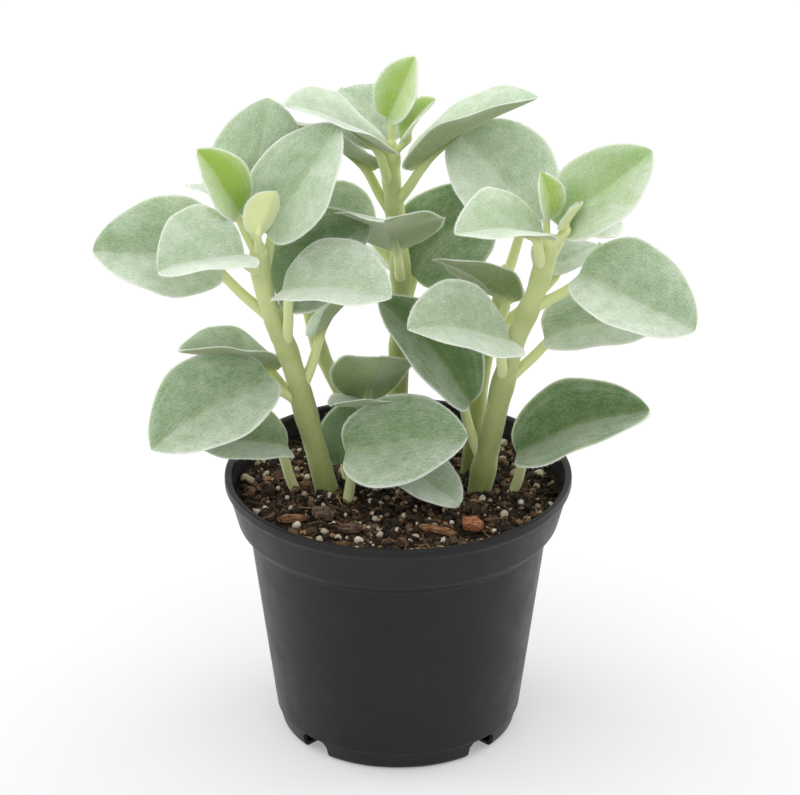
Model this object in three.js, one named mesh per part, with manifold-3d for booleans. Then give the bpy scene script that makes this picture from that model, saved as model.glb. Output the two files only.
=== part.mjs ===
// A potted peperomia: a nursery pot, its potting mix, five stems, their leaves and some bark chips.
// Millimetres, +Z up. The origin is the middle of the pot's underside, and -Y is the front.

import * as THREE from 'three';
import { mergeVertices } from 'three/addons/utils/BufferGeometryUtils.js';
import Module from 'manifold-3d';

const wasm = await Module();
wasm.setup();

// ---------------------------------------------------------------- driving dimensions

const gap = 0.3;                 // clearance between pieces that touch

const potHeight = 85.5;
const rimRadius = 54;
const bandHeight = 15;           // the collar below the rim
const bandBottomRadius = 50;
const shoulderDrop = 3.2;        // the slope under the collar
const wallTopRadius = 46.6;
const wallBottomRadius = 38.3;
const footHeight = 6;
const footRadius = 36.6;
const potWall = 1.2;
const lipRound = 0.8;
const potSegments = 56;

const notchAngles = [45, 135, 225, 315];   // degrees round the pot
const notchWidth = 10.5;
const notchHeight = 6;
const notchDepth = 6;

const soilLevel = 78.5;
const soilCrown = 1.0;           // how much higher the mix is in the middle
const rootDepth = 12;            // how far stems go into the mix
const petioleDepth = 7;          // how far the lowest leaf stalks go into it

const bladeThickness = 1.2;
const bladeSteps = 6;            // along the midrib
const bladeHalfSteps = 2;        // from the midrib to a margin
const lobe = 0.13;               // how far the base lobes reach back, as a share of the length
const arch = 0.05;               // how far the middle of a blade stands above its ends
const petioleSides = 6;
const petioleSteps = 3;
const petioleRadius = 1.7;
const stemSides = 10;
const stemSteps = 12;

// ---------------------------------------------------------------- materials

const finishes = {
  pot: { color: 0x2b2b2c, roughness: 0.5, metalness: 0 },
  mix: { color: 0x2a1d15, roughness: 1, metalness: 0 },
  bark: { color: 0x6b4028, roughness: 0.95, metalness: 0 },
  stem: { color: 0xb9c78c, roughness: 0.6, metalness: 0 },
  leaf: { color: 0x8fa88c, roughness: 0.85, metalness: 0 },
  youngLeaf: { color: 0xa9c66e, roughness: 0.8, metalness: 0 },
};

// ---------------------------------------------------------------- solids and booleans

function toSolid(geometry) {
  const bare = geometry.clone();
  bare.deleteAttribute('normal');
  bare.deleteAttribute('uv');
  const merged = mergeVertices(bare, 1e-4);
  return new wasm.Manifold(new wasm.Mesh({
    numProp: 3,
    vertProperties: Float32Array.from(merged.attributes.position.array),
    triVerts: Uint32Array.from(merged.index.array),
  }));
}

function toGeometry(solid) {
  const mesh = solid.getMesh();
  const geometry = new THREE.BufferGeometry();
  geometry.setAttribute('position', new THREE.BufferAttribute(mesh.vertProperties, 3));
  geometry.setIndex(new THREE.BufferAttribute(mesh.triVerts, 1));
  const flat = geometry.toNonIndexed();
  flat.computeVertexNormals();
  return flat;
}

function largestPiece(solid) {
  const pieces = solid.decompose();
  pieces.sort((a, b) => b.volume() - a.volume());
  return pieces[0];
}

function addMesh(group, name, geometry, finish) {
  const mesh = new THREE.Mesh(geometry, new THREE.MeshStandardMaterial(finishes[finish]));
  mesh.name = name;
  group.add(mesh);
  return mesh;
}

// A closed tube along a curve whose radius changes evenly from one end to the other.
function taperedTube(curve, startRadius, endRadius, sides, steps) {
  const frames = curve.computeFrenetFrames(steps, false);
  const positions = [];
  const index = [];
  for (let i = 0; i <= steps; i += 1) {
    const centre = curve.getPointAt(i / steps);
    const radius = THREE.MathUtils.lerp(startRadius, endRadius, i / steps);
    for (let j = 0; j < sides; j += 1) {
      const angle = (2 * Math.PI * j) / sides;
      const point = centre.clone();
      point.addScaledVector(frames.normals[i], radius * Math.cos(angle));
      point.addScaledVector(frames.binormals[i], radius * Math.sin(angle));
      positions.push(point.x, point.y, point.z);
    }
  }
  const startPole = positions.length / 3;
  positions.push(...curve.getPointAt(0).toArray());
  const endPole = startPole + 1;
  positions.push(...curve.getPointAt(1).toArray());
  for (let j = 0; j < sides; j += 1) {
    const next = (j + 1) % sides;
    for (let i = 0; i < steps; i += 1) {
      const a = i * sides + j;
      const b = i * sides + next;
      index.push(a, b, b + sides, a, b + sides, a + sides);
    }
    index.push(startPole, next, j);
    index.push(endPole, steps * sides + j, steps * sides + next);
  }
  const geometry = new THREE.BufferGeometry();
  geometry.setAttribute('position', new THREE.Float32BufferAttribute(positions, 3));
  geometry.setIndex(index);
  return geometry;
}

// ---------------------------------------------------------------- pot

function wallRadius(z) {
  return THREE.MathUtils.mapLinear(z, footHeight, potHeight - bandHeight, wallBottomRadius, wallTopRadius);
}

function potShell() {
  const bandBottom = potHeight - bandHeight;
  const shoulder = bandBottom - shoulderDrop;
  const profile = new THREE.Path();
  profile.moveTo(0, 0);
  profile.lineTo(footRadius - 1, 0);
  profile.lineTo(footRadius, 1);
  profile.lineTo(wallBottomRadius - 0.5, footHeight);
  profile.lineTo(wallBottomRadius, footHeight + 0.5);
  profile.lineTo(wallRadius(shoulder), shoulder);
  profile.lineTo(bandBottomRadius - 1, bandBottom - 0.6);
  profile.lineTo(bandBottomRadius, bandBottom + 0.6);
  profile.lineTo(rimRadius, potHeight - lipRound);
  profile.quadraticCurveTo(rimRadius, potHeight, rimRadius - lipRound, potHeight);
  profile.lineTo(rimRadius - potWall - lipRound, potHeight - lipRound);
  profile.lineTo(bandBottomRadius - potWall, bandBottom);
  profile.lineTo(wallRadius(shoulder) - potWall, shoulder);
  profile.lineTo(footRadius - potWall, potWall);
  profile.lineTo(0, potWall);
  return toSolid(new THREE.LatheGeometry(profile.getPoints(3), potSegments).rotateX(Math.PI / 2));
}

function drainNotch(degrees) {
  const half = notchWidth / 2;
  const opening = new THREE.Shape();
  opening.moveTo(-half, -1);
  opening.lineTo(half, -1);
  opening.lineTo(half, notchHeight - 2);
  opening.lineTo(half - 1.5, notchHeight);
  opening.lineTo(1.5 - half, notchHeight);
  opening.lineTo(-half, notchHeight - 2);
  const block = new THREE.ExtrudeGeometry(opening, { depth: 2 * notchDepth, bevelEnabled: false });
  block.rotateX(Math.PI / 2);
  block.rotateZ(Math.PI / 2);
  block.translate(footRadius - notchDepth, 0, 0);
  block.rotateZ(THREE.MathUtils.degToRad(degrees));
  return toSolid(block);
}

function nurseryPot() {
  return notchAngles.reduce((pot, degrees) => pot.subtract(drainNotch(degrees)), potShell());
}

// ---------------------------------------------------------------- potting mix

function pottingMix(rooted) {
  const bottom = potWall + gap;
  const shoulder = potHeight - bandHeight - shoulderDrop;
  const inset = potWall + gap + 0.2;
  const bandSlope = (rimRadius - bandBottomRadius) / bandHeight;
  const topRadius = bandBottomRadius - inset + bandSlope * (soilLevel - potHeight + bandHeight);
  const outline = [
    new THREE.Vector2(0, bottom),
    new THREE.Vector2(footRadius - inset - 0.3, bottom),
    new THREE.Vector2(wallRadius(shoulder) - inset - 0.3, shoulder),
    new THREE.Vector2(bandBottomRadius - inset - 0.3, potHeight - bandHeight + 0.5),
    new THREE.Vector2(topRadius - 0.3, soilLevel - 0.6),
    new THREE.Vector2(topRadius - 8, soilLevel),
    new THREE.Vector2(topRadius / 2, soilLevel + soilCrown * 0.7),
    new THREE.Vector2(0, soilLevel + soilCrown),
  ];
  const whole = toSolid(new THREE.LatheGeometry(outline, 48).rotateX(Math.PI / 2));
  return rooted.reduce((mix, solid) => mix.subtract(solid), whole);
}

// ---------------------------------------------------------------- stems

// Each stem is a smooth line through its points, from where it leaves the mix to its growing tip.
const stems = {
  stem_left: {
    radii: [3.9, 2.4],
    points: [[-22, 0, 78], [-28, -3, 105], [-33, -5, 126], [-40, -8, 148], [-42, -10, 160], [-42, -11, 168]],
  },
  stem_right: {
    radii: [3.9, 2.6],
    points: [[25, 0, 78], [29, -2, 101], [32, -4, 117], [36, -6, 134], [42, -8, 151], [45, -9, 164], [46, -10, 170]],
  },
  stem_middle: {
    radii: [3.6, 2.4],
    points: [[-1, 21, 78], [0, 21, 107], [1, 20, 135], [0, 19, 156], [-2, 18, 176], [-2, 17, 190]],
  },
  stem_back_left: {
    radii: [3.0, 1.8],
    points: [[-6, 12, 78], [-9, 12, 92], [-17, 12, 106], [-24, 13, 121], [-28, 14, 136], [-30, 14, 143]],
  },
  stem_back_right: {
    radii: [3.0, 1.8],
    points: [[22, 11, 78], [23, 11, 90], [25, 11, 106], [28, 12, 124], [32, 13, 142], [33, 13, 150]],
  },
};

function stemCurve({ points }) {
  const line = points.map((point) => new THREE.Vector3(...point));
  const below = line[0].clone().lerp(line[1], -rootDepth / (line[1].z - line[0].z));
  return new THREE.CatmullRomCurve3([below, ...line]);
}

function stemSolid(stem, extra) {
  const [start, end] = stem.radii;
  return toSolid(taperedTube(stemCurve(stem), start + extra, end + extra, stemSides, stemSteps));
}

// The point on a stem's line at a height.
function stemPointAt(stem, height) {
  const curve = stemCurve(stem);
  let low = 0;
  let high = 1;
  for (let i = 0; i < 30; i += 1) {
    const middle = (low + high) / 2;
    if (curve.getPoint(middle).z < height) {
      low = middle;
    } else {
      high = middle;
    }
  }
  return curve.getPoint(low);
}

// ---------------------------------------------------------------- leaves

// from: the height at which the stalk leaves its stem, or the spot on the mix where it comes up.
// base and tip: the ends of the midrib. faces: the way the upper side looks. fold: degrees that each half rises.
const leaves = [
  // stem_left
  { name: 'left_low_front', stem: 'stem_left', from: 111, base: [-41, -10, 120], tip: [-75, -28, 107],
    faces: [-0.2, -0.65, 0.75], width: 35, fold: 22 },
  { name: 'left_low_back', stem: 'stem_left', from: 108, base: [-38, 4, 120], tip: [-67, -8, 131],
    faces: [0, 0.1, 1], width: 28, fold: 35 },
  { name: 'left_upper_back', stem: 'stem_left', from: 140, base: [-55, -7, 160], tip: [-92, -14, 167],
    faces: [-0.1, -0.6, 0.8], width: 40, fold: 28 },
  { name: 'left_front_top', stem: 'stem_left', from: 160, base: [-47, -21, 169], tip: [-71, -38, 171],
    faces: [0, -0.42, 0.9], width: 34, fold: 40 },
  { name: 'left_young', stem: 'stem_left', from: 162, base: [-48, -8, 178], tip: [-60, -15, 200],
    faces: [0.5, -0.75, 0.4], width: 20, fold: 35, young: true },
  { name: 'left_bud', stem: 'stem_left', from: 164, base: [-43, -17, 174], tip: [-37, -15, 187],
    faces: [0.2, 0.5, 0.8], width: 14, fold: 35, young: true },
  { name: 'left_back_top', stem: 'stem_left', from: 161, base: [-44, -3, 175], tip: [-39, 9, 207],
    faces: [0, -0.9, 0.4], width: 30, fold: 12 },
  { name: 'left_right_top', stem: 'stem_left', from: 160, base: [-39, -8, 171], tip: [-18, -3, 203],
    faces: [-0.4, -0.75, 0.5], width: 31, fold: 25 },
  { name: 'left_mid_right', stem: 'stem_left', from: 131, base: [-34, -16, 151], tip: [-2, -34, 161],
    faces: [0, -0.35, 0.94], width: 36, fold: 28 },
  { name: 'left_mid_back', stem: 'stem_left', from: 137, base: [-36, -3, 148], tip: [-9, -1, 170],
    faces: [0, -0.6, 0.8], width: 36, fold: 28 },
  { name: 'left_inner', stem: 'stem_left', from: 115, base: [-26, -3, 134], tip: [-8, 8, 148],
    faces: [-0.3, 0.4, 0.85], width: 26, fold: 22 },
  // stem_middle
  { name: 'middle_young', stem: 'stem_middle', from: 184, base: [-3, 17, 198], tip: [5, 15, 218],
    faces: [-0.4, -0.8, 0.4], width: 18, fold: 35, young: true },
  { name: 'middle_bud', stem: 'stem_middle', from: 184, base: [1, 14, 192], tip: [11, 11, 206],
    faces: [-0.5, -0.3, 0.8], width: 13, fold: 35, young: true },
  { name: 'middle_right_top', stem: 'stem_middle', from: 168, base: [5, 14, 183], tip: [42, 8, 208],
    faces: [-0.4, 0.15, 0.9], width: 32, fold: 35 },
  { name: 'middle_left_top', stem: 'stem_middle', from: 178, base: [-4, 13, 189], tip: [-34, 0, 209],
    faces: [0.3, 0, 0.95], width: 30, fold: 22 },
  { name: 'middle_back_top', stem: 'stem_middle', from: 178, base: [-4, 23, 187], tip: [-17, 40, 198],
    faces: [0, -0.4, 0.9], width: 28, fold: 20 },
  { name: 'middle_left_low', stem: 'stem_middle', from: 163, base: [-8, 23, 179], tip: [-37, 18, 195],
    faces: [0.3, 0.3, 0.9], width: 30, fold: 22 },
  { name: 'middle_front', stem: 'stem_middle', from: 145, base: [0, 12, 156], tip: [-4, -20, 180],
    faces: [0, 0.4, 0.9], width: 36, fold: 22 },
  { name: 'middle_right_back', stem: 'stem_middle', from: 130, base: [5, 24, 143], tip: [27, 36, 166],
    faces: [-0.2, -0.9, 0.4], width: 32, fold: 15 },
  { name: 'middle_left_back', stem: 'stem_middle', from: 148, base: [-9, 24, 158], tip: [-32, 26, 166],
    faces: [0, -0.5, 0.85], width: 24, fold: 20 },
  { name: 'middle_back', stem: 'stem_middle', from: 120, base: [2, 32, 139], tip: [4, 64, 134],
    faces: [0, -0.1, 1], width: 32, fold: 20 },
  // stem_back_left
  { name: 'inner_front', stem: 'stem_back_left', from: 95, base: [-10, 6, 108], tip: [-6, -14, 132],
    faces: [0, 0.4, 0.9], width: 27, fold: 22 },
  { name: 'inner_left', stem: 'stem_back_left', from: 92, base: [1, 5, 103], tip: [-20, -10, 114],
    faces: [0, 0.35, 0.9], width: 26, fold: 20 },
  { name: 'back_left', stem: 'stem_back_left', from: 124, base: [-25, 30, 136], tip: [-30, 62, 130],
    faces: [0, -0.1, 1], width: 32, fold: 20 },
  { name: 'back_left_top', stem: 'stem_left', from: 163, base: [-48, 15, 170], tip: [-53, 42, 165],
    faces: [0, -0.1, 1], width: 30, fold: 20 },
  // stem_right
  { name: 'right_mid', stem: 'stem_right', from: 144, base: [56, -14, 159], tip: [89, -32, 149],
    faces: [0.1, -0.6, 0.8], width: 37, fold: 30 },
  { name: 'right_mid_back', stem: 'stem_right', from: 118, base: [46, -1, 133], tip: [82, -4, 140],
    faces: [0, -0.45, 0.9], width: 30, fold: 25 },
  { name: 'right_young_big', stem: 'stem_right', from: 163, base: [50, -9, 173], tip: [76, -8, 197],
    faces: [-0.45, -0.75, 0.45], width: 28, fold: 25, young: true },
  { name: 'right_young', stem: 'stem_right', from: 164, base: [46, -12, 177], tip: [43, -13, 192],
    faces: [0.5, -0.8, 0.3], width: 12, fold: 35, young: true },
  { name: 'right_bud', stem: 'stem_right', from: 164, base: [49, -13, 174], tip: [55, -14, 183],
    faces: [-0.4, 0.2, 0.9], width: 9, fold: 35, young: true },
  { name: 'right_back_top', stem: 'stem_right', from: 158, base: [42, 4, 170], tip: [17, 20, 192],
    faces: [0.4, -0.8, 0.4], width: 37, fold: 20 },
  { name: 'right_front_top', stem: 'stem_right', from: 160, base: [43, -16, 173], tip: [17, -38, 183],
    faces: [0, -0.42, 0.9], width: 29, fold: 38 },
  { name: 'right_back_small', stem: 'stem_right', from: 157, base: [51, -3, 171], tip: [68, 10, 166],
    faces: [0.2, -0.4, 0.9], width: 19, fold: 20 },
  { name: 'right_mid_left', stem: 'stem_right', from: 119, base: [33, -15, 138], tip: [3, -38, 152],
    faces: [0, -0.5, 0.85], width: 34, fold: 28 },
  { name: 'right_low_left', stem: 'stem_right', from: 88, base: [21, -5, 113], tip: [-6, 2, 144],
    faces: [0.6, -0.65, 0.4], width: 30, fold: 32 },
  // stem_back_right
  { name: 'back_right_edge', stem: 'stem_back_right', from: 130, base: [34, 8, 141], tip: [12, -6, 161],
    faces: [-0.35, 0.1, 0.93], width: 24, fold: 15 },
  { name: 'back_right_top', stem: 'stem_back_right', from: 142, base: [38, 26, 158], tip: [50, 54, 156],
    faces: [0, -0.1, 1], width: 28, fold: 20 },
  { name: 'back_right_low', stem: 'stem_back_right', from: 104, base: [27, 28, 118], tip: [30, 60, 113],
    faces: [0, -0.1, 1], width: 30, fold: 20 },
  { name: 'back_right_inner', stem: 'stem_back_right', from: 98, base: [21, 18, 108], tip: [8, 32, 118],
    faces: [0, -0.5, 0.85], width: 24, fold: 20 },
  { name: 'back_right_side', stem: 'stem_back_right', from: 128, base: [47, 16, 146], tip: [62, 30, 150],
    faces: [0, 0.1, 1], width: 28, fold: 22 },
  // straight from the mix
  { name: 'basal_left', from: [-29, 2], base: [-35, -5, 97], tip: [-64, -16, 104],
    faces: [0.1, -0.35, 0.95], width: 32, fold: 30 },
  { name: 'basal_right', from: [33, 1], base: [38, -5, 95], tip: [77, -10, 112],
    faces: [0, -0.42, 0.9], width: 34, fold: 28 },
  { name: 'front_big', from: [-17, -7], base: [-15, -10, 93], tip: [21, -20, 108],
    faces: [0, -0.7, 0.7], width: 33, fold: 18 },
  { name: 'front_inner', from: [-15, 2], base: [-17, 6, 86], tip: [-16, 7, 106],
    faces: [0.1, -0.85, 0.5], width: 20, fold: 15 },
  { name: 'front_low', from: [-4, 6], base: [-1, -2, 90], tip: [19, -17, 83],
    faces: [0.2, -0.4, 0.9], width: 22, fold: 20 },
];

function halfWidth(u, width) {
  return (width / 2) * Math.sin(Math.PI * u ** 0.85) ** 0.6;
}

// A point of the blade in its own frame: X along the midrib, Z out of the upper side.
function bladePoint(u, v, length, width, fold) {
  const across = v * halfWidth(u, width);
  const back = lobe * length * v * v * (1 - u) ** 2;
  const rise = 4 * arch * length * u * (1 - u);
  return new THREE.Vector3(
    length * u - back,
    across * Math.cos(fold),
    Math.abs(across) * Math.sin(fold) + rise,
  );
}

function bladeGeometry(length, width, foldDegrees) {
  const fold = THREE.MathUtils.degToRad(foldDegrees);
  const positions = [0, 0, 0, length, 0, 0];
  const index = [];
  const columns = 2 * bladeHalfSteps;
  const top = [];
  const bottom = [];
  for (let i = 1; i < bladeSteps; i += 1) {
    const u = i / bladeSteps;
    const topRow = [];
    const bottomRow = [];
    for (let j = 0; j <= columns; j += 1) {
      const v = j / bladeHalfSteps - 1;
      const point = bladePoint(u, v, length, width, fold);
      topRow.push(positions.length / 3);
      positions.push(point.x, point.y, point.z);
      if (j > 0 && j < columns) {
        bottomRow.push(positions.length / 3);
        positions.push(point.x, point.y, point.z - bladeThickness);
      } else {
        bottomRow.push(topRow[j]);
      }
    }
    top.push(topRow);
    bottom.push(bottomRow);
  }
  const last = top.length - 1;
  for (let j = 0; j < columns; j += 1) {
    index.push(0, top[0][j], top[0][j + 1]);
    index.push(0, bottom[0][j + 1], bottom[0][j]);
    index.push(1, top[last][j + 1], top[last][j]);
    index.push(1, bottom[last][j], bottom[last][j + 1]);
    for (let i = 0; i < last; i += 1) {
      index.push(top[i][j], top[i + 1][j], top[i + 1][j + 1]);
      index.push(top[i][j], top[i + 1][j + 1], top[i][j + 1]);
      index.push(bottom[i][j], bottom[i + 1][j + 1], bottom[i + 1][j]);
      index.push(bottom[i][j], bottom[i][j + 1], bottom[i + 1][j + 1]);
    }
  }
  const geometry = new THREE.BufferGeometry();
  geometry.setAttribute('position', new THREE.Float32BufferAttribute(positions, 3));
  geometry.setIndex(index);
  return geometry;
}

function leafFrame(leaf) {
  const base = new THREE.Vector3(...leaf.base);
  const along = new THREE.Vector3(...leaf.tip).sub(base);
  const length = along.length();
  along.normalize();
  const up = new THREE.Vector3(...leaf.faces);
  up.addScaledVector(along, -up.dot(along)).normalize();
  const side = new THREE.Vector3().crossVectors(up, along);
  return { base, along, up, side, length };
}

function petioleCurve(leaf) {
  const { base, along, up } = leafFrame(leaf);
  const start = leaf.stem
    ? stemPointAt(stems[leaf.stem], leaf.from)
    : new THREE.Vector3(leaf.from[0], leaf.from[1], soilLevel - petioleDepth);
  const end = base.clone().addScaledVector(along, 3).addScaledVector(up, -0.4);
  const middle = start.clone().lerp(base, 0.55).addScaledVector(up, -0.08 * start.distanceTo(base));
  return new THREE.CatmullRomCurve3([start, middle, base.clone().addScaledVector(up, -0.8), end]);
}

function petioleSolid(leaf, extra) {
  const radius = (leaf.width > 20 ? petioleRadius : 0.7 * petioleRadius) + extra;
  return toSolid(taperedTube(petioleCurve(leaf), radius, 0.8 * radius, petioleSides, petioleSteps));
}

function leafSolid(leaf, neighbours) {
  const { base, along, up, side, length } = leafFrame(leaf);
  const blade = bladeGeometry(length, leaf.width, leaf.fold);
  blade.applyMatrix4(new THREE.Matrix4().makeBasis(along, side, up).setPosition(base));
  const whole = toSolid(blade).add(petioleSolid(leaf, 0));
  return largestPiece(neighbours.reduce((solid, other) => solid.subtract(other), whole));
}

// ---------------------------------------------------------------- bark chips

const barkChips = [
  { name: 'bark_chip_dark', at: [-23, -20], size: [9, 8, 3], turn: 20 },
  { name: 'bark_chip_red', at: [23, -28], size: [7, 7, 4], turn: 70 },
  { name: 'bark_stick', at: [12, -30], size: [14, 2.6, 2], turn: -28 },
  { name: 'bark_chip_flat', at: [-15, -29], size: [9, 6, 2.4], turn: 10 },
  { name: 'bark_chip_left', at: [-33, -23], size: [10, 3.5, 2.4], turn: 5 },
];

function chipGeometry([length, width, height]) {
  const outline = new THREE.Shape();
  const corners = 7;
  for (let i = 0; i < corners; i += 1) {
    const angle = (2 * Math.PI * i) / corners;
    const reach = 0.5 - 0.09 * (i % 2);
    outline[i === 0 ? 'moveTo' : 'lineTo'](length * reach * Math.cos(angle), width * reach * Math.sin(angle));
  }
  return new THREE.ExtrudeGeometry(outline, {
    depth: height - 0.8,
    bevelThickness: 0.4,
    bevelSize: 0.4,
    bevelOffset: -0.4,
    bevelSegments: 1,
  }).translate(0, 0, 0.4);
}

// ---------------------------------------------------------------- assembly

const plant = new THREE.Group();
addMesh(plant, 'nursery_pot', toGeometry(nurseryPot()), 'pot');

const rooted = [];
for (const [name, stem] of Object.entries(stems)) {
  addMesh(plant, name, toGeometry(stemSolid(stem, 0)), 'stem');
  rooted.push(stemSolid(stem, gap));
}

const petioles = [];
for (const leaf of leaves) {
  const sameStem = petioles.filter((other) => other.stem === leaf.stem).map((other) => other.solid);
  const neighbours = leaf.stem ? [stemSolid(stems[leaf.stem], gap), ...sameStem] : sameStem;
  const solid = leafSolid(leaf, neighbours);
  addMesh(plant, `leaf_${leaf.name}`, toGeometry(solid), leaf.young ? 'youngLeaf' : 'leaf');
  petioles.push({ stem: leaf.stem, solid: petioleSolid(leaf, gap) });
  if (!leaf.stem) {
    rooted.push(petioleSolid(leaf, gap));
  }
}

addMesh(plant, 'potting_mix', toGeometry(pottingMix(rooted)), 'mix');

for (const chip of barkChips) {
  const mesh = addMesh(plant, chip.name, chipGeometry(chip.size), 'bark');
  mesh.position.set(chip.at[0], chip.at[1], soilLevel + soilCrown + gap);
  mesh.rotation.z = THREE.MathUtils.degToRad(chip.turn);
}

export default plant;
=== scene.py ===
"""A potted peperomia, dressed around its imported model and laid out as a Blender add-on."""

import math
from collections import namedtuple

import bpy
import numpy as np
from bpy.props import FloatProperty, FloatVectorProperty, IntProperty, PointerProperty
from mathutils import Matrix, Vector


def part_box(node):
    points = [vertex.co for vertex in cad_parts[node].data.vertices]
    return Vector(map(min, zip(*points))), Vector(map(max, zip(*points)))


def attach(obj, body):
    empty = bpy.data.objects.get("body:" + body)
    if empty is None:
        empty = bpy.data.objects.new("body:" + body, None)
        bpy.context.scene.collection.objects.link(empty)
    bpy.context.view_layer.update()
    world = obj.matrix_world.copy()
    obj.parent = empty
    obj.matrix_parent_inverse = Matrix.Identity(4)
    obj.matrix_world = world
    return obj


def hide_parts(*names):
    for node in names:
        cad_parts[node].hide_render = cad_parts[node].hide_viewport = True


bl_info = {
    "name": "Potted peperomia",
    "version": (1, 0, 0),
    "blender": (4, 5, 0),
    "location": "View3D > Sidebar > Peperomia",
    "description": "Builds the leaves, stems, potting mix and nursery pot around the packed model",
    "category": "Object",
}

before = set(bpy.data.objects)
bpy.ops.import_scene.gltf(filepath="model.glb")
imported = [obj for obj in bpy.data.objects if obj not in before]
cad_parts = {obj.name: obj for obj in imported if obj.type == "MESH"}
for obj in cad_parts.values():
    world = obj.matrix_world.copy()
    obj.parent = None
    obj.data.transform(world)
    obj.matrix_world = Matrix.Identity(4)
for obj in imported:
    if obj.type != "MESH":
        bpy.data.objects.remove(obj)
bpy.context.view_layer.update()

MM = 0.001
BODY = "root"
POT_LOW, POT_HIGH = (np.array(corner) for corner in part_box("nursery_pot"))
MIX_LOW, MIX_HIGH = (np.array(corner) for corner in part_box("potting_mix"))
RIM_RADIUS = (POT_HIGH[0] - POT_LOW[0]) / 2
POT_HEIGHT = POT_HIGH[2]
MIX_RADIUS = (MIX_HIGH[0] - MIX_LOW[0]) / 2

# ---------------------------------------------------------------- the plant's rows

# A stem, in mm: its radius at foot and tip, and its centre line as steps from where it leaves the mix.
Stem = namedtuple("Stem", "radii line")

STEMS = {
    "stem_left": Stem((3.9, 2.4), (
        (0, 0, 0), (-6, -3, 27), (-11, -5, 48), (-18, -8, 70), (-20, -10, 82), (-20, -11, 90))),
    "stem_right": Stem((3.9, 2.6), (
        (0, 0, 0), (4, -2, 23), (7, -4, 39), (11, -6, 56), (17, -8, 73), (20, -9, 86), (21, -10, 92))),
    "stem_middle": Stem((3.6, 2.4), (
        (0, 0, 0), (1, 0, 29), (2, -1, 57), (1, -2, 78), (-1, -3, 98), (-1, -4, 112))),
    "stem_back_left": Stem((3.0, 1.8), (
        (0, 0, 0), (-3, 0, 14), (-11, 0, 28), (-18, 1, 43), (-22, 2, 58), (-24, 2, 65))),
    "stem_back_right": Stem((3.0, 1.8), (
        (0, 0, 0), (1, 0, 12), (3, 0, 28), (6, 1, 46), (10, 2, 64), (11, 2, 72))),
}
# How far a stem goes on down below the surface of the mix, in mm.
ROOT_DEPTH = 12

# A leaf: the stem it grows on, how high its stalk leaves it above the table (or where it comes out of the
# mix, measured from the tip), the midrib from base to tip, the way its upper side faces, its width in mm,
# how far each half rises in degrees, and its age from 0, just opened, to 1, old and dark.
Leaf = namedtuple("Leaf", "stem root midrib faces width fold age")

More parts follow.
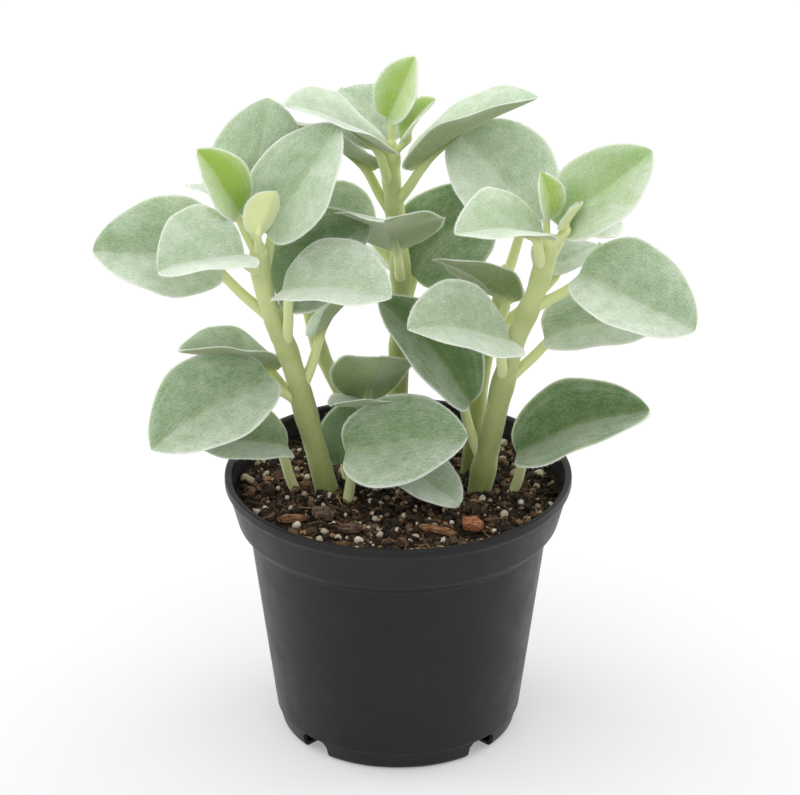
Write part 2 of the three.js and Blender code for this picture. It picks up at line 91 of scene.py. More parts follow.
LEAVES = {
    "leaf_left_low_front": Leaf("stem_left", 111, (-34, -18, -16), (-0.2, -0.65, 0.75), 35, 22, 0.85),
    "leaf_left_low_back": Leaf("stem_left", 108, (-29, -12, 11), (0, 0.1, 1), 28, 35, 0.85),
    "leaf_left_upper_back": Leaf("stem_left", 140, (-37, -7, 7), (-0.1, -0.6, 0.8), 40, 28, 0.75),
    "leaf_left_front_top": Leaf("stem_left", 160, (-24, -17, 2), (0, -0.42, 0.9), 38, 38, 0.5),
    "leaf_left_young": Leaf("stem_left", 162, (-12, -7, 22), (0.5, -0.75, 0.4), 20, 35, 0.15),
    "leaf_left_bud": Leaf("stem_left", 164, (6, 2, 13), (0.2, 0.5, 0.8), 14, 35, 0.1),
    "leaf_left_back_top": Leaf("stem_left", 161, (5, 12, 32), (0, -0.9, 0.4), 30, 12, 0.5),
    "leaf_left_right_top": Leaf("stem_left", 160, (21, 5, 32), (-0.4, -0.75, 0.5), 31, 25, 0.6),
    "leaf_left_mid_right": Leaf("stem_left", 131, (32, -18, 6), (0, -0.35, 0.94), 36, 31, 0.7),
    "leaf_left_mid_back": Leaf("stem_left", 137, (27, 2, 22), (0, -0.6, 0.8), 36, 28, 0.85),
    "leaf_left_inner": Leaf("stem_left", 115, (18, 11, 14), (-0.3, 0.4, 0.85), 26, 22, 0.75),
    "leaf_middle_young": Leaf("stem_middle", 184, (8, -2, 20), (-0.4, -0.8, 0.4), 18, 35, 0.1),
    "leaf_middle_bud": Leaf("stem_middle", 184, (10, -3, 14), (-0.5, -0.3, 0.8), 13, 35, 0.15),
    "leaf_middle_right_top": Leaf("stem_middle", 168, (37, -6, 25), (-0.4, 0.15, 0.9), 32, 35, 0.6),
    "leaf_middle_left_top": Leaf("stem_middle", 178, (-30, -13, 20), (0.3, 0, 0.95), 30, 22, 0.6),
    "leaf_middle_back_top": Leaf("stem_middle", 178, (-13, 17, 11), (0, -0.4, 0.9), 28, 20, 0.75),
    "leaf_middle_left_low": Leaf("stem_middle", 163, (-29, -5, 16), (0.3, 0.3, 0.9), 30, 22, 0.75),
    "leaf_middle_front": Leaf("stem_middle", 145, (-4, -32, 24), (0, 0.4, 0.9), 36, 22, 0.75),
    "leaf_middle_right_back": Leaf("stem_middle", 130, (22, 12, 23), (-0.2, -0.9, 0.4), 32, 15, 0.9),
    "leaf_middle_left_back": Leaf("stem_middle", 148, (-23, 2, 8), (0, -0.5, 0.85), 24, 20, 0.75),
    "leaf_middle_back": Leaf("stem_middle", 120, (2, 32, -5), (0, -0.1, 1), 32, 20, 0.75),
    "leaf_inner_front": Leaf("stem_back_left", 95, (4, -20, 24), (0, 0.4, 0.9), 27, 22, 0.75),
    "leaf_inner_left": Leaf("stem_back_left", 92, (-21, -15, 11), (0, 0.35, 0.9), 26, 20, 0.75),
    "leaf_back_left": Leaf("stem_back_left", 124, (-5, 32, -6), (0, -0.1, 1), 32, 20, 0.75),
    "leaf_back_left_top": Leaf("stem_left", 163, (-5, 27, -5), (0, -0.1, 1), 30, 20, 0.75),
    "leaf_right_mid": Leaf("stem_right", 144, (33, -18, -10), (0.1, -0.6, 0.8), 37, 30, 0.75),
    "leaf_right_mid_back": Leaf("stem_right", 118, (36, -3, 7), (0, -0.45, 0.9), 30, 25, 0.75),
    "leaf_right_young_big": Leaf("stem_right", 163, (26, 1, 24), (-0.45, -0.75, 0.45), 28, 25, 0.35),
    "leaf_right_young": Leaf("stem_right", 164, (-3, -1, 15), (0.5, -0.8, 0.3), 12, 35, 0),
    "leaf_right_bud": Leaf("stem_right", 164, (6, -1, 9), (-0.4, 0.2, 0.9), 9, 35, 0.15),
    "leaf_right_back_top": Leaf("stem_right", 158, (-25, 16, 22), (0.4, -0.8, 0.4), 37, 20, 0.6),
    "leaf_right_front_top": Leaf("stem_right", 160, (-26, -22, 10), (0, -0.42, 0.9), 29, 38, 0.45),
    "leaf_right_back_small": Leaf("stem_right", 157, (17, 13, -5), (0.2, -0.4, 0.9), 19, 20, 0.75),
    "leaf_right_mid_left": Leaf("stem_right", 119, (-30, -23, 14), (0, -0.5, 0.85), 34, 28, 0.75),
    "leaf_right_low_left": Leaf("stem_right", 88, (-27, 7, 31), (0.6, -0.65, 0.4), 30, 32, 0.95),
    "leaf_back_right_edge": Leaf("stem_back_right", 130, (-22, -14, 20), (-0.35, 0.1, 0.93), 24, 15, 0.75),
    "leaf_back_right_top": Leaf("stem_back_right", 142, (12, 28, -2), (0, -0.1, 1), 28, 20, 0.75),
    "leaf_back_right_low": Leaf("stem_back_right", 104, (3, 32, -5), (0, -0.1, 1), 30, 20, 0.75),
    "leaf_back_right_inner": Leaf("stem_back_right", 98, (-13, 14, 10), (0, -0.5, 0.85), 24, 20, 0.75),
    "leaf_back_right_side": Leaf("stem_back_right", 128, (15, 14, 4), (0, 0.1, 1), 28, 22, 0.75),
    "leaf_basal_left": Leaf(None, (35, 18), (-29, -11, 7), (0.1, -0.35, 0.95), 32, 30, 0.9),
    "leaf_basal_right": Leaf(None, (-44, 11), (39, -5, 17), (0, -0.42, 0.9), 34, 28, 1),
    "leaf_front_big": Leaf(None, (-38, 13), (36, -10, 10), (0, -0.7, 0.7), 33, 23, 0.84),
    "leaf_front_inner": Leaf(None, (1, -5), (1, 1, 20), (0.1, -0.85, 0.5), 20, 15, 0.75),
    "leaf_front_low": Leaf(None, (-23, 23), (20, -15, -7), (0.2, -0.4, 0.9), 22, 20, 0.75),
}

# ---------------------------------------------------------------- numpy shapes


def unit(vector):
    """The vector divided by its own length."""
    vector = np.asarray(vector, float)
    return vector / np.linalg.norm(vector)


def unit_rows(vectors):
    """Each row of an array divided by its own length."""
    return vectors / np.linalg.norm(vectors, axis=1)[:, None]


def circle(count):
    """Even angles round a circle: a whole turn times nought, one, two and so on, over the count."""
    return 2 * math.pi * np.arange(count) / count


def turn_about_z(points, angle):
    """Row vectors times the matrix of a turn about the Z axis, made of the angle's cosine and sine."""
    cosine, sine = math.cos(angle), math.sin(angle)
    return points @ np.array([[cosine, sine, 0], [-sine, cosine, 0], [0, 0, 1]])


def smooth_line(points, count):
    """Between two points, the cubic whose end slopes are half the step between their neighbours."""
    points = np.asarray(points, float)
    padded = np.vstack([2 * points[0] - points[1], points, 2 * points[-1] - points[-2]])
    place = np.linspace(0, len(points) - 1, count)
    start = np.minimum(place.astype(int), len(points) - 2)
    t = (place - start)[:, None]
    before, here, after, beyond = (padded[start + step] for step in range(4))
    return 0.5 * (
        2 * here
        + (after - before) * t
        + (2 * before - 5 * here + 4 * after - beyond) * t**2
        + (3 * here - before - 3 * after + beyond) * t**3
    )


def tube_rings(line, radii, columns, reference):
    """Circles of the given radii round each point of a line, each at right angles to the line there."""
    tangent = unit_rows(np.gradient(line, axis=0))
    across = unit_rows(np.cross(tangent, reference))
    other = np.cross(tangent, across)
    turn = circle(columns)
    ring = across[:, None] * np.cos(turn)[None, :, None] + other[:, None] * np.sin(turn)[None, :, None]
    return line[:, None] + ring * np.broadcast_to(radii, len(line))[:, None, None]


def closed_loft(rings, start, end):
    """Rings joined one to the next, with a fan of triangles to a pole at each end."""
    count, columns = rings.shape[:2]
    points = np.vstack([rings.reshape(-1, 3), start, end])
    ring, column = np.meshgrid(np.arange(count - 1), np.arange(columns), indexing="ij")
    beside = (column + 1) % columns
    quads = np.stack([
        ring * columns + column,
        ring * columns + beside,
        (ring + 1) * columns + beside,
        (ring + 1) * columns + column,
    ], axis=-1).reshape(-1, 4)
    first = np.arange(columns)
    following = (first + 1) % columns
    start_pole = np.full(columns, count * columns)
    last_row = (count - 1) * columns
    start_fan = np.stack([following, first, start_pole], axis=-1)
    end_fan = np.stack([last_row + first, last_row + following, start_pole + 1], axis=-1)
    return points, quads, np.vstack([start_fan, end_fan])


def signed_volume(points, quads, triangles):
    """A sixth of the sum of the triple products of the triangles' corners."""
    split = np.vstack([quads[:, [0, 1, 2]], quads[:, [0, 2, 3]], triangles])
    a, b, c = (points[split[:, k]] for k in range(3))
    return np.einsum("ij,ij->i", a, np.cross(b, c)).sum() / 6


def outward(points, quads, triangles):
    """Turns every face round if the shape's volume comes out negative."""
    if signed_volume(points - points.mean(axis=0), quads, triangles) < 0:
        return points, quads[:, ::-1], triangles[:, ::-1]
    return points, quads, triangles


def join_shapes(shapes):
    """Stacks shapes of points, quads and triangles into one, with the face numbers moved up."""
    offsets = np.cumsum([0] + [len(shape[0]) for shape in shapes[:-1]])
    points = np.vstack([shape[0] for shape in shapes])
    quads = np.vstack([shape[1] + offset for shape, offset in zip(shapes, offsets)])
    triangles = np.vstack([shape[2] + offset for shape, offset in zip(shapes, offsets)])
    return points, quads, triangles


RIPPLE_WAVES = 6


def ripple(points, wavelength, seed):
    """A smooth irregular field: the mean of a few sine waves in random directions and phases."""
    random = np.random.default_rng(seed)
    directions = unit_rows(random.normal(size=(RIPPLE_WAVES, 3)))
    pace = 2 * math.pi / (wavelength * random.uniform(0.7, 1.5, RIPPLE_WAVES))
    phase = random.uniform(0, 2 * math.pi, RIPPLE_WAVES)
    return np.sin(points @ (directions * pace[:, None]).T + phase).mean(axis=-1)


def add_object(name, data):
    """A new object at the origin that holds the data, linked to the scene."""
    thing = bpy.data.objects.new(name, data)
    bpy.context.scene.collection.objects.link(thing)
    return thing


def mesh_piece(name, shape, material, attributes=None, smooth=True):
    """A mesh object at the origin from points, quads and triangles, riding with the pot."""
    points, quads, triangles = shape
    mesh = bpy.data.meshes.new(name)
    mesh.from_pydata(points.tolist(), [], quads.tolist() + triangles.tolist())
    for key, values in (attributes or {}).items():
        layer = mesh.attributes.new(key, "FLOAT", "POINT")
        layer.data.foreach_set("value", np.asarray(values, np.float32))
    mesh.polygons.foreach_set("use_smooth", np.full(len(mesh.polygons), smooth))
    mesh.materials.append(material)
    mesh.update()
    piece = add_object(name, mesh)
    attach(piece, BODY)
    return piece


def node_points(node):
    """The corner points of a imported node."""
    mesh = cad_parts[node].data
    points = np.empty(3 * len(mesh.vertices))
    mesh.vertices.foreach_get("co", points)
    return points.reshape(-1, 3)


# ---------------------------------------------------------------- materials


# How far apart leaves of different ages read the strand noise, so that they don't match.
AGE_STEP = 40.0


class Paint:
    """A node material: its Principled shader, with short calls for the patterns that feed it."""

    def __init__(self, name, roughness, **sockets):
        self.material = bpy.data.materials.new(name)
        self.material.use_nodes = True
        self.tree = self.material.node_tree
        self.shader = self.tree.nodes["Principled BSDF"]
        self.shader.inputs["Roughness"].default_value = roughness
        for socket, value in sockets.items():
            self.shader.inputs[socket.replace("_", " ")].default_value = value
        self.place = self.tree.nodes.new("ShaderNodeTexCoord").outputs["Object"]

    def link(self, source, target):
        """Joins an output to an input."""
        self.tree.links.new(source, target)

    def noise(self, size, detail=3, stretch=None):
        """Noise on object coordinates, with lumps about as wide as the size, in metres."""
        node = self.tree.nodes.new("ShaderNodeTexNoise")
        node.inputs["Scale"].default_value = 1 / size
        node.inputs["Detail"].default_value = detail
        if stretch is None:
            self.link(self.place, node.inputs["Vector"])
        else:
            mapping = self.tree.nodes.new("ShaderNodeMapping")
            mapping.inputs["Scale"].default_value = stretch
            self.link(self.place, mapping.inputs["Vector"])
            self.link(mapping.outputs["Vector"], node.inputs["Vector"])
        return node.outputs["Fac"]

    def attribute(self, name):
        """A value held at each point of the mesh, read by its name."""
        node = self.tree.nodes.new("ShaderNodeAttribute")
        node.attribute_name = name
        return node.outputs["Fac"]

    def spread(self, value, low, high, to_low=0.0, to_high=1.0):
        """Maps the range low to high onto another range, and holds it there."""
        node = self.tree.nodes.new("ShaderNodeMapRange")
        node.inputs["From Min"].default_value = low
        node.inputs["From Max"].default_value = high
        node.inputs["To Min"].default_value = to_low
        node.inputs["To Max"].default_value = to_high
        self.link(value, node.inputs["Value"])
        return node.outputs["Result"]

    def combine(self, operation, first, second):
        """Two values put together, each a pattern or a number."""
        node = self.tree.nodes.new("ShaderNodeMath")
        node.operation = operation
        for socket, value in zip(node.inputs, (first, second)):
            if isinstance(value, float):
                socket.default_value = value
            else:
                self.link(value, socket)
        return node.outputs["Value"]

    def product(self, first, second):
        """One value times another."""
        return self.combine("MULTIPLY", first, second)

    def total(self, first, second):
        """One value plus another."""
        return self.combine("ADD", first, second)

    def held(self, value):
        """The value kept between nought and one."""
        return self.spread(value, 0.0, 1.0)

    def strands(self, width, length):
        """Noise on the blade's own coordinates, divided by a length along it and a width across it, in mm."""
        join = self.tree.nodes.new("ShaderNodeCombineXYZ")
        self.link(self.product(self.attribute("along"), 1 / length), join.inputs["X"])
        self.link(self.product(self.attribute("across"), 1 / width), join.inputs["Y"])
        self.link(self.product(self.attribute("age"), AGE_STEP), join.inputs["Z"])
        node = self.tree.nodes.new("ShaderNodeTexNoise")
        node.inputs["Scale"].default_value = 1
        node.inputs["Detail"].default_value = 2
        self.link(join.outputs["Vector"], node.inputs["Vector"])
        return node.outputs["Fac"]

    def mix(self, factor, first, second):
        """Blends two colours, each a colour or a pattern, through the node's colour inputs and output."""
        node = self.tree.nodes.new("ShaderNodeMix")
        node.data_type = "RGBA"
        factor_socket, first_socket, second_socket = node.inputs[0], node.inputs[6], node.inputs[7]
        if isinstance(factor, float):
            factor_socket.default_value = factor
        else:
            self.link(factor, factor_socket)
        for socket, value in ((first_socket, first), (second_socket, second)):
            if isinstance(value, bpy.types.NodeSocket):
                self.link(value, socket)
            else:
                socket.default_value = (*value[:3], 1)
        return node.outputs[2]

    def bump(self, height, depth, strength=1.0):
        """Tilts the surface by a pattern, as if it stood out by the depth in metres."""
        node = self.tree.nodes.new("ShaderNodeBump")
        node.inputs["Distance"].default_value = depth
        node.inputs["Strength"].default_value = strength
        self.link(height, node.inputs["Height"])
        self.link(node.outputs["Normal"], self.shader.inputs["Normal"])

    def colour(self, source):
        """Sets the base colour and gives back the finished material."""
        self.link(source, self.shader.inputs["Base Color"])
        return self.material

    def rough(self, source):
        """Sets the roughness from a pattern."""
        self.link(source, self.shader.inputs["Roughness"])


def leaf_material(colours):
    """Green by age under pale felt, painted paler where a face points up, with fine hairs, a pale rim of
    painted highlight, a faint midrib and a duller underside.
    """
    paint = Paint(
        "felted leaf", colours.leaf_roughness,
        Sheen_Weight=colours.down, Sheen_Roughness=0.5, Sheen_Tint=(0.95, 1.0, 0.93, 1),
        Specular_IOR_Level=0.2, Subsurface_Weight=0.12, Subsurface_Scale=0.003,
        Subsurface_Radius=(0.5, 1.0, 0.25),
    )
    age = paint.attribute("age")
    grown = paint.mix(paint.spread(age, 0.62, 1.0), colours.leaf, colours.leaf_old)
    green = paint.mix(paint.spread(age, 0.12, 0.5), colours.leaf_young, grown)
    cloud = paint.spread(paint.noise(5 * MM, 4), 0.32, 0.68, -0.13, 0.13)
    grain = paint.spread(paint.noise(0.5 * MM, 3), 0.34, 0.66, -0.15, 0.15)
    hairs = paint.spread(paint.strands(0.34, 2.2), 0.34, 0.66, -0.13, 0.13)
    unevenness = paint.total(cloud, paint.total(grain, hairs))
    # The felt value is partly felt and partly painted light, paler where a face points up; it mixes the green
    # towards the hair colour.
    reach = paint.spread(paint.attribute("felt"), 0.0, 0.5, 0.4, 1.0)
    share = paint.total(paint.attribute("felt"), paint.product(unevenness, reach))
    felted = paint.mix(paint.held(share), green, colours.hair)
    veined = paint.mix(paint.product(paint.attribute("vein"), 0.1), felted, colours.hair)
    ribbed = paint.mix(paint.product(paint.attribute("rib"), 0.16), veined, colours.stem)
    tender = paint.mix(paint.spread(age, 0.2, 0.55), colours.stem, colours.underside)
    below = paint.mix(paint.held(paint.total(grain, 0.06)), tender, colours.hair)
    both = paint.mix(paint.attribute("under"), ribbed, below)
    # Painted highlight: the margin painted paler, where its hairs would catch the light.
    rim_highlighted = paint.mix(paint.product(paint.attribute("rim"), 0.9), both, colours.rim)
    stalked = paint.mix(paint.attribute("stalk"), rim_highlighted, colours.stem)
    paint.bump(paint.total(grain, hairs), 0.16 * MM, 0.8)
    return paint.colour(stalked)


def stem_material(colours):
    """Olive near the mix, pale yellow green above, finely downy, with a duller ring at each node."""
    paint = Paint(
        "fleshy stem", 0.6,
        Sheen_Weight=0.7 * colours.down, Sheen_Roughness=0.4, Specular_IOR_Level=0.3,
        Subsurface_Weight=0.2, Subsurface_Scale=0.004, Subsurface_Radius=(0.6, 1.0, 0.3),
    )
    streak = paint.spread(paint.noise(0.6 * MM, 3, (1, 1, 0.25)), 0.35, 0.7)
    cloud = paint.spread(paint.noise(6 * MM, 2), 0.35, 0.65)
    body = paint.mix(paint.attribute("height"), colours.stem_foot, colours.stem)
    streaked = paint.mix(paint.product(streak, 0.14), body, colours.hair)
    clouded = paint.mix(paint.product(cloud, 0.14), streaked, colours.stem_foot)
    ringed = paint.mix(paint.product(paint.attribute("node"), 0.22), clouded, colours.stem_foot)
    paint.bump(paint.noise(0.4 * MM, 2), 0.07 * MM, 0.5)
    return paint.colour(ringed)


def down_material(colours):
    """Pale hair, a little greener in patches."""
    paint = Paint("down", 0.6, Specular_IOR_Level=0.3, Subsurface_Weight=0.3, Subsurface_Scale=0.001)
    patch = paint.spread(paint.noise(2 * MM, 2), 0.35, 0.65)
    return paint.colour(paint.mix(patch, colours.hair, colours.rim))


def pot_material(pot):
    """Moulded black plastic with a faint grain and cloudy gloss."""
    paint = Paint("black nursery plastic", pot.roughness, Specular_IOR_Level=0.26)
    cloud = paint.spread(paint.noise(22 * MM, 3), 0.3, 0.7)
    paint.rough(paint.spread(paint.noise(7 * MM, 5), 0.3, 0.7, pot.roughness - 0.05, pot.roughness + 0.07))
    paint.bump(paint.noise(0.5 * MM, 2), 0.05 * MM, 0.5)
    lighter = tuple(1.35 * channel for channel in pot.plastic)
    return paint.colour(paint.mix(cloud, pot.plastic, lighter))


def mix_material(mix):
    """Damp peat: near black with brown crumbs at two sizes."""
    paint = Paint("damp peat", 0.92, Specular_IOR_Level=0.2)
    crumb = paint.spread(paint.noise(1.6 * MM, 5), 0.45, 0.7)
    dust = paint.spread(paint.noise(0.4 * MM, 3), 0.5, 0.75)
    brown = paint.mix(crumb, mix.peat, mix.fibre)
    paint.bump(paint.noise(0.7 * MM, 5), 0.5 * MM)
    return paint.colour(paint.mix(paint.product(dust, 0.4), brown, mix.bark))


def grain_material(name, dark, light, roughness=0.65, size=0.6):
    """Loose bits, each with its own shade between two colours, and a mottled broken surface."""
    paint = Paint(name, roughness, Specular_IOR_Level=0.25)
    own = paint.mix(paint.attribute("shade"), dark, light)
    mottle = paint.spread(paint.noise(size * MM, 4), 0.42, 0.7)
    paint.bump(paint.noise(0.5 * size * MM, 4), 0.2 * MM)
    return paint.colour(paint.mix(paint.product(mottle, 0.45), own, dark))


def bark_material(name, dark, light):
    """Bark in thin layers: bands along its length, broken by coarse noise."""
    paint = Paint(name, 0.88, Specular_IOR_Level=0.25)
    layer = paint.spread(paint.noise(1.2 * MM, 5, (0.4, 1.3, 2.6)), 0.38, 0.66)
    crack = paint.spread(paint.noise(2.2 * MM, 4), 0.56, 0.66)
    banded = paint.mix(layer, dark, light)
    paint.bump(paint.noise(0.9 * MM, 5, (0.5, 1.2, 2.2)), 0.6 * MM)
    return paint.colour(paint.mix(paint.product(crack, 0.7), banded, tuple(0.3 * c for c in dark)))


# ---------------------------------------------------------------- stems

STEM_RINGS = 90
STEM_COLUMNS = 28
# The swelling at a node: how far it stands out, and how far up and down it spreads, in mm.
NODE_SWELL = 0.45
NODE_SPREAD = 4.0
TIP_RINGS = 8
STEM_UNEVENNESS = 0.03
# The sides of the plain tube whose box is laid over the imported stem's box.
BOX_COLUMNS = 12
UPRIGHT_REFERENCE = (0, 1, 0)


def stem_line(name, count):
    """A stem's centre line in metres: its own curve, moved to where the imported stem's box lies."""
    rows = np.array(STEMS[name].line, float)
    step = rows[1] - rows[0]
    below = rows[0] - step * (ROOT_DEPTH / step[2])
    line = smooth_line(np.vstack([below, rows]), count) * MM
    first, last = (radius * MM for radius in STEMS[name].radii)
    radii = np.linspace(first, last, count)
    plain = tube_rings(line, radii, BOX_COLUMNS, UPRIGHT_REFERENCE).reshape(-1, 3)
    low, high = (np.array(corner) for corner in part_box(name))
    return line + (low + high) / 2 - (plain.min(axis=0) + plain.max(axis=0)) / 2


def point_at_height(line, height):
    """The point of a rising line at a height, between the two that lie each side of it."""
    return np.array([np.interp(height, line[:, 2], line[:, axis]) for axis in range(3)])


def stem_shape(name):
    """A tapering tube, fatter by a bell curve of the height at each stalk, and rounded off at its tip.

    The tip's radius falls by the square root of what is left of the last few rings. A ripple then moves
    each point a little in or out. The height attribute is the 0.8th power of the share of the way up.
    """
    line = stem_line(name, STEM_RINGS)
    first, last = STEMS[name].radii
    radii = np.linspace(first, last, STEM_RINGS)
    height = line[:, 2] / MM
    heights = [leaf.root for leaf in LEAVES.values() if leaf.stem == name]
    node = np.exp(-(((height[:, None] - np.array(heights) + 1) / NODE_SPREAD) ** 2)).max(axis=1)
    past_tip = (np.arange(STEM_RINGS) - STEM_RINGS + TIP_RINGS - 1).clip(0)
    tip = np.sqrt(np.clip(1 - past_tip / TIP_RINGS, 0.05, 1))
    rings = tube_rings(line, (radii + NODE_SWELL * node) * tip * MM, STEM_COLUMNS, UPRIGHT_REFERENCE)
    centre = line[:, None]
    rings = centre + (rings - centre) * (1 + STEM_UNEVENNESS * ripple(rings, 14 * MM, 11))[..., None]
    shape = outward(*closed_loft(rings, line[0], line[-1]))
    mix_top = MIX_HIGH[2] / MM
    rise = np.clip((height - mix_top) / (height[-1] - mix_top), 0, 1) ** 0.8
    attributes = {
        "height": np.append(np.repeat(rise, STEM_COLUMNS), [0, 1]),
        "node": np.append(np.repeat(node, STEM_COLUMNS), [0, 0]),
    }
    return shape, attributes


# ---------------------------------------------------------------- leaves

BLADE_RINGS = 40
BLADE_COLUMNS = 52
STALK_RINGS = 32
STALK_COLUMNS = 16
LEAF_SEED = 100
# In mm: a stalk's radius, the width up to which a leaf has a thinner stalk, and how rounded the fold is.
STALK_RADIUS = 1.7
SMALL_LEAF = 20
FOLD_ROUND = 1.6
# Below this age a leaf counts as young.
YOUNG_AGE = 0.4
# As shares of the blade's length: its lobes, its arch, its base past the stalk, and its sideways bend.
LOBE = 0.07
ARCH = 0.05
BASE_OVERHANG = 0.04
SIDE_BEND = 0.03
# As shares of the blade's width and half width: the waves of the margin and its curl.
WAVE_HEIGHT = 0.022
MARGIN_CURL = 0.1
# In mm: the midrib's groove above, its keel below, and how wide the pale rim of painted highlight is.
GROOVE_DEPTH = 0.3
KEEL_DEPTH = 0.6
RIM_HIGHLIGHT_WIDTH = 0.55
# How pale the felt is, by age and towards the margins, plus painted light: paler as a face points up past a
# neutral slope.
FELT_AGES = (0.1, 0.15, 0.3, 0.5, 0.7, 0.85, 1.0)
FELT_SHARES = (0.46, 0.32, 0.32, 0.58, 0.52, 0.3, 0.12)
MARGIN_FELT = 0.14
YOUNG_MARGIN_FELT = 0.4
UPWARD_PAINTED_LIGHT = 0.46
NEUTRAL_FACING = 0.72
# How far along the blade the stalk's joint lies, and how much wider the stalk is at its root.
STALK_INSET = 0.16
STALK_FLARE = 0.18
# A stalk shorter than this leaves its stem lower down, by up to the largest drop.
SHORT_STALK = 17 * MM
LARGEST_DROP = 9 * MM


def blade_shape(leaf, length, thickness, rise, seed):
    """The blade in its own frame, in mm: X along the midrib, Z out of the upper side.

    The half width is half the leaf's width times the 0.6th power of the sine of pi u^0.85, with u running
    from base to tip. Each half rises from a rounded fold, the lobes run back past the base, the margins
    curl down, and slow waves run along them. Each ring goes out along the upper side and back below.
    Rise holds how much the blade's side and its upper face point up: the half that faces up more is painted
    paler, as painted light from above.
    """
    random = np.random.default_rng(seed)
    u = 0.5 - 0.5 * np.cos(math.pi * (np.arange(BLADE_RINGS) + 0.6) / (BLADE_RINGS + 0.2))[:, None]
    turn = circle(BLADE_COLUMNS)[None]
    v = np.sign(np.cos(turn)) * np.abs(np.cos(turn)) ** 1.5
    half = leaf.width / 2 * np.sin(math.pi * u**0.85) ** 0.6
    across = v * half
    fold = math.radians(leaf.fold)
    back = LOBE * length * v**2 * (1 - u) ** 2 * (1 - np.exp(-u / 0.03))
    lean = across / np.sqrt(across**2 + FOLD_ROUND**2)
    climb = np.sqrt(across**2 + FOLD_ROUND**2) - FOLD_ROUND
    first, second, third = random.uniform(0, 2 * math.pi, 3)
    wave = WAVE_HEIGHT * leaf.width * v**2 * (
        np.sin(2 * math.pi * 1.2 * u + first + 1.3 * np.sign(v))
        + 0.5 * np.sin(2 * math.pi * 2.7 * u + second)
    )
    bend = SIDE_BEND * length * np.sin(math.pi * u + third) * np.sin(math.pi * u)
    curl = MARGIN_CURL * half * np.abs(v) ** 3
    thick = thickness * (1 - 0.45 * v**2) * (1 - 0.5 * np.abs(2 * u - 1) ** 6)
    side = np.sign(np.sin(turn)) * np.abs(np.sin(turn)) ** 0.6
    groove = GROOVE_DEPTH * np.exp(-((across / 0.7) ** 2)) * (side > 0)
    keel = KEEL_DEPTH * np.exp(-((across / 1.1) ** 2)) * (1 - u) * (side < 0)
    x = length * (u - BASE_OVERHANG * (1 - u) ** 3) - back
    y = across * math.cos(fold) - lean * math.sin(fold) * thick / 2 * side + bend
    z = (
        climb * math.sin(fold) + 4 * ARCH * length * u * (1 - u) - curl + wave
        + thick / 2 * (side - 1) - groove - keel
    )
    rings = np.stack(np.broadcast_arrays(x, y, z), axis=-1)
    poles = np.array([[-BASE_OVERHANG * length, 0, -thickness / 2], [length, 0, -thickness / 2]])
    shape = closed_loft(rings, poles[0], poles[1])
    margin = (1 - np.abs(v)) * half
    facing_up = rise[1] * math.cos(fold) - rise[0] * math.sin(fold) * np.tanh(across / FOLD_ROUND)
    margin_felt = MARGIN_FELT if leaf.age > YOUNG_AGE else YOUNG_MARGIN_FELT
    age_felt = np.interp(leaf.age, FELT_AGES, FELT_SHARES)
    attributes = {
        # The rim is a painted highlight along the margin.
        "rim": np.exp(-((margin / RIM_HIGHLIGHT_WIDTH) ** 2)),
        "along": length * u + 0 * v,
        "across": across + 50,
        # Felt by age and margin, plus painted light: the faces that point up are painted paler.
        "felt": age_felt + margin_felt * v**2 + UPWARD_PAINTED_LIGHT * (facing_up - NEUTRAL_FACING),
        "rib": np.exp(-((across / 0.9) ** 2)) * (1 - 0.6 * u),
        "vein": np.cos(4 * math.pi * np.abs(v)) ** 8 * (np.abs(v) > 0.12) * (np.abs(v) < 0.88) + 0 * u,
        "under": np.broadcast_to((side < -0.1).astype(float), across.shape),
        "stalk": np.exp(-(((length * u) / 4) ** 2)) * np.exp(-((across / 2.2) ** 2)) * (side < 0),
    }
    flat = {key: np.append(np.asarray(value).ravel(), [0, 0]) for key, value in attributes.items()}
    return shape, flat


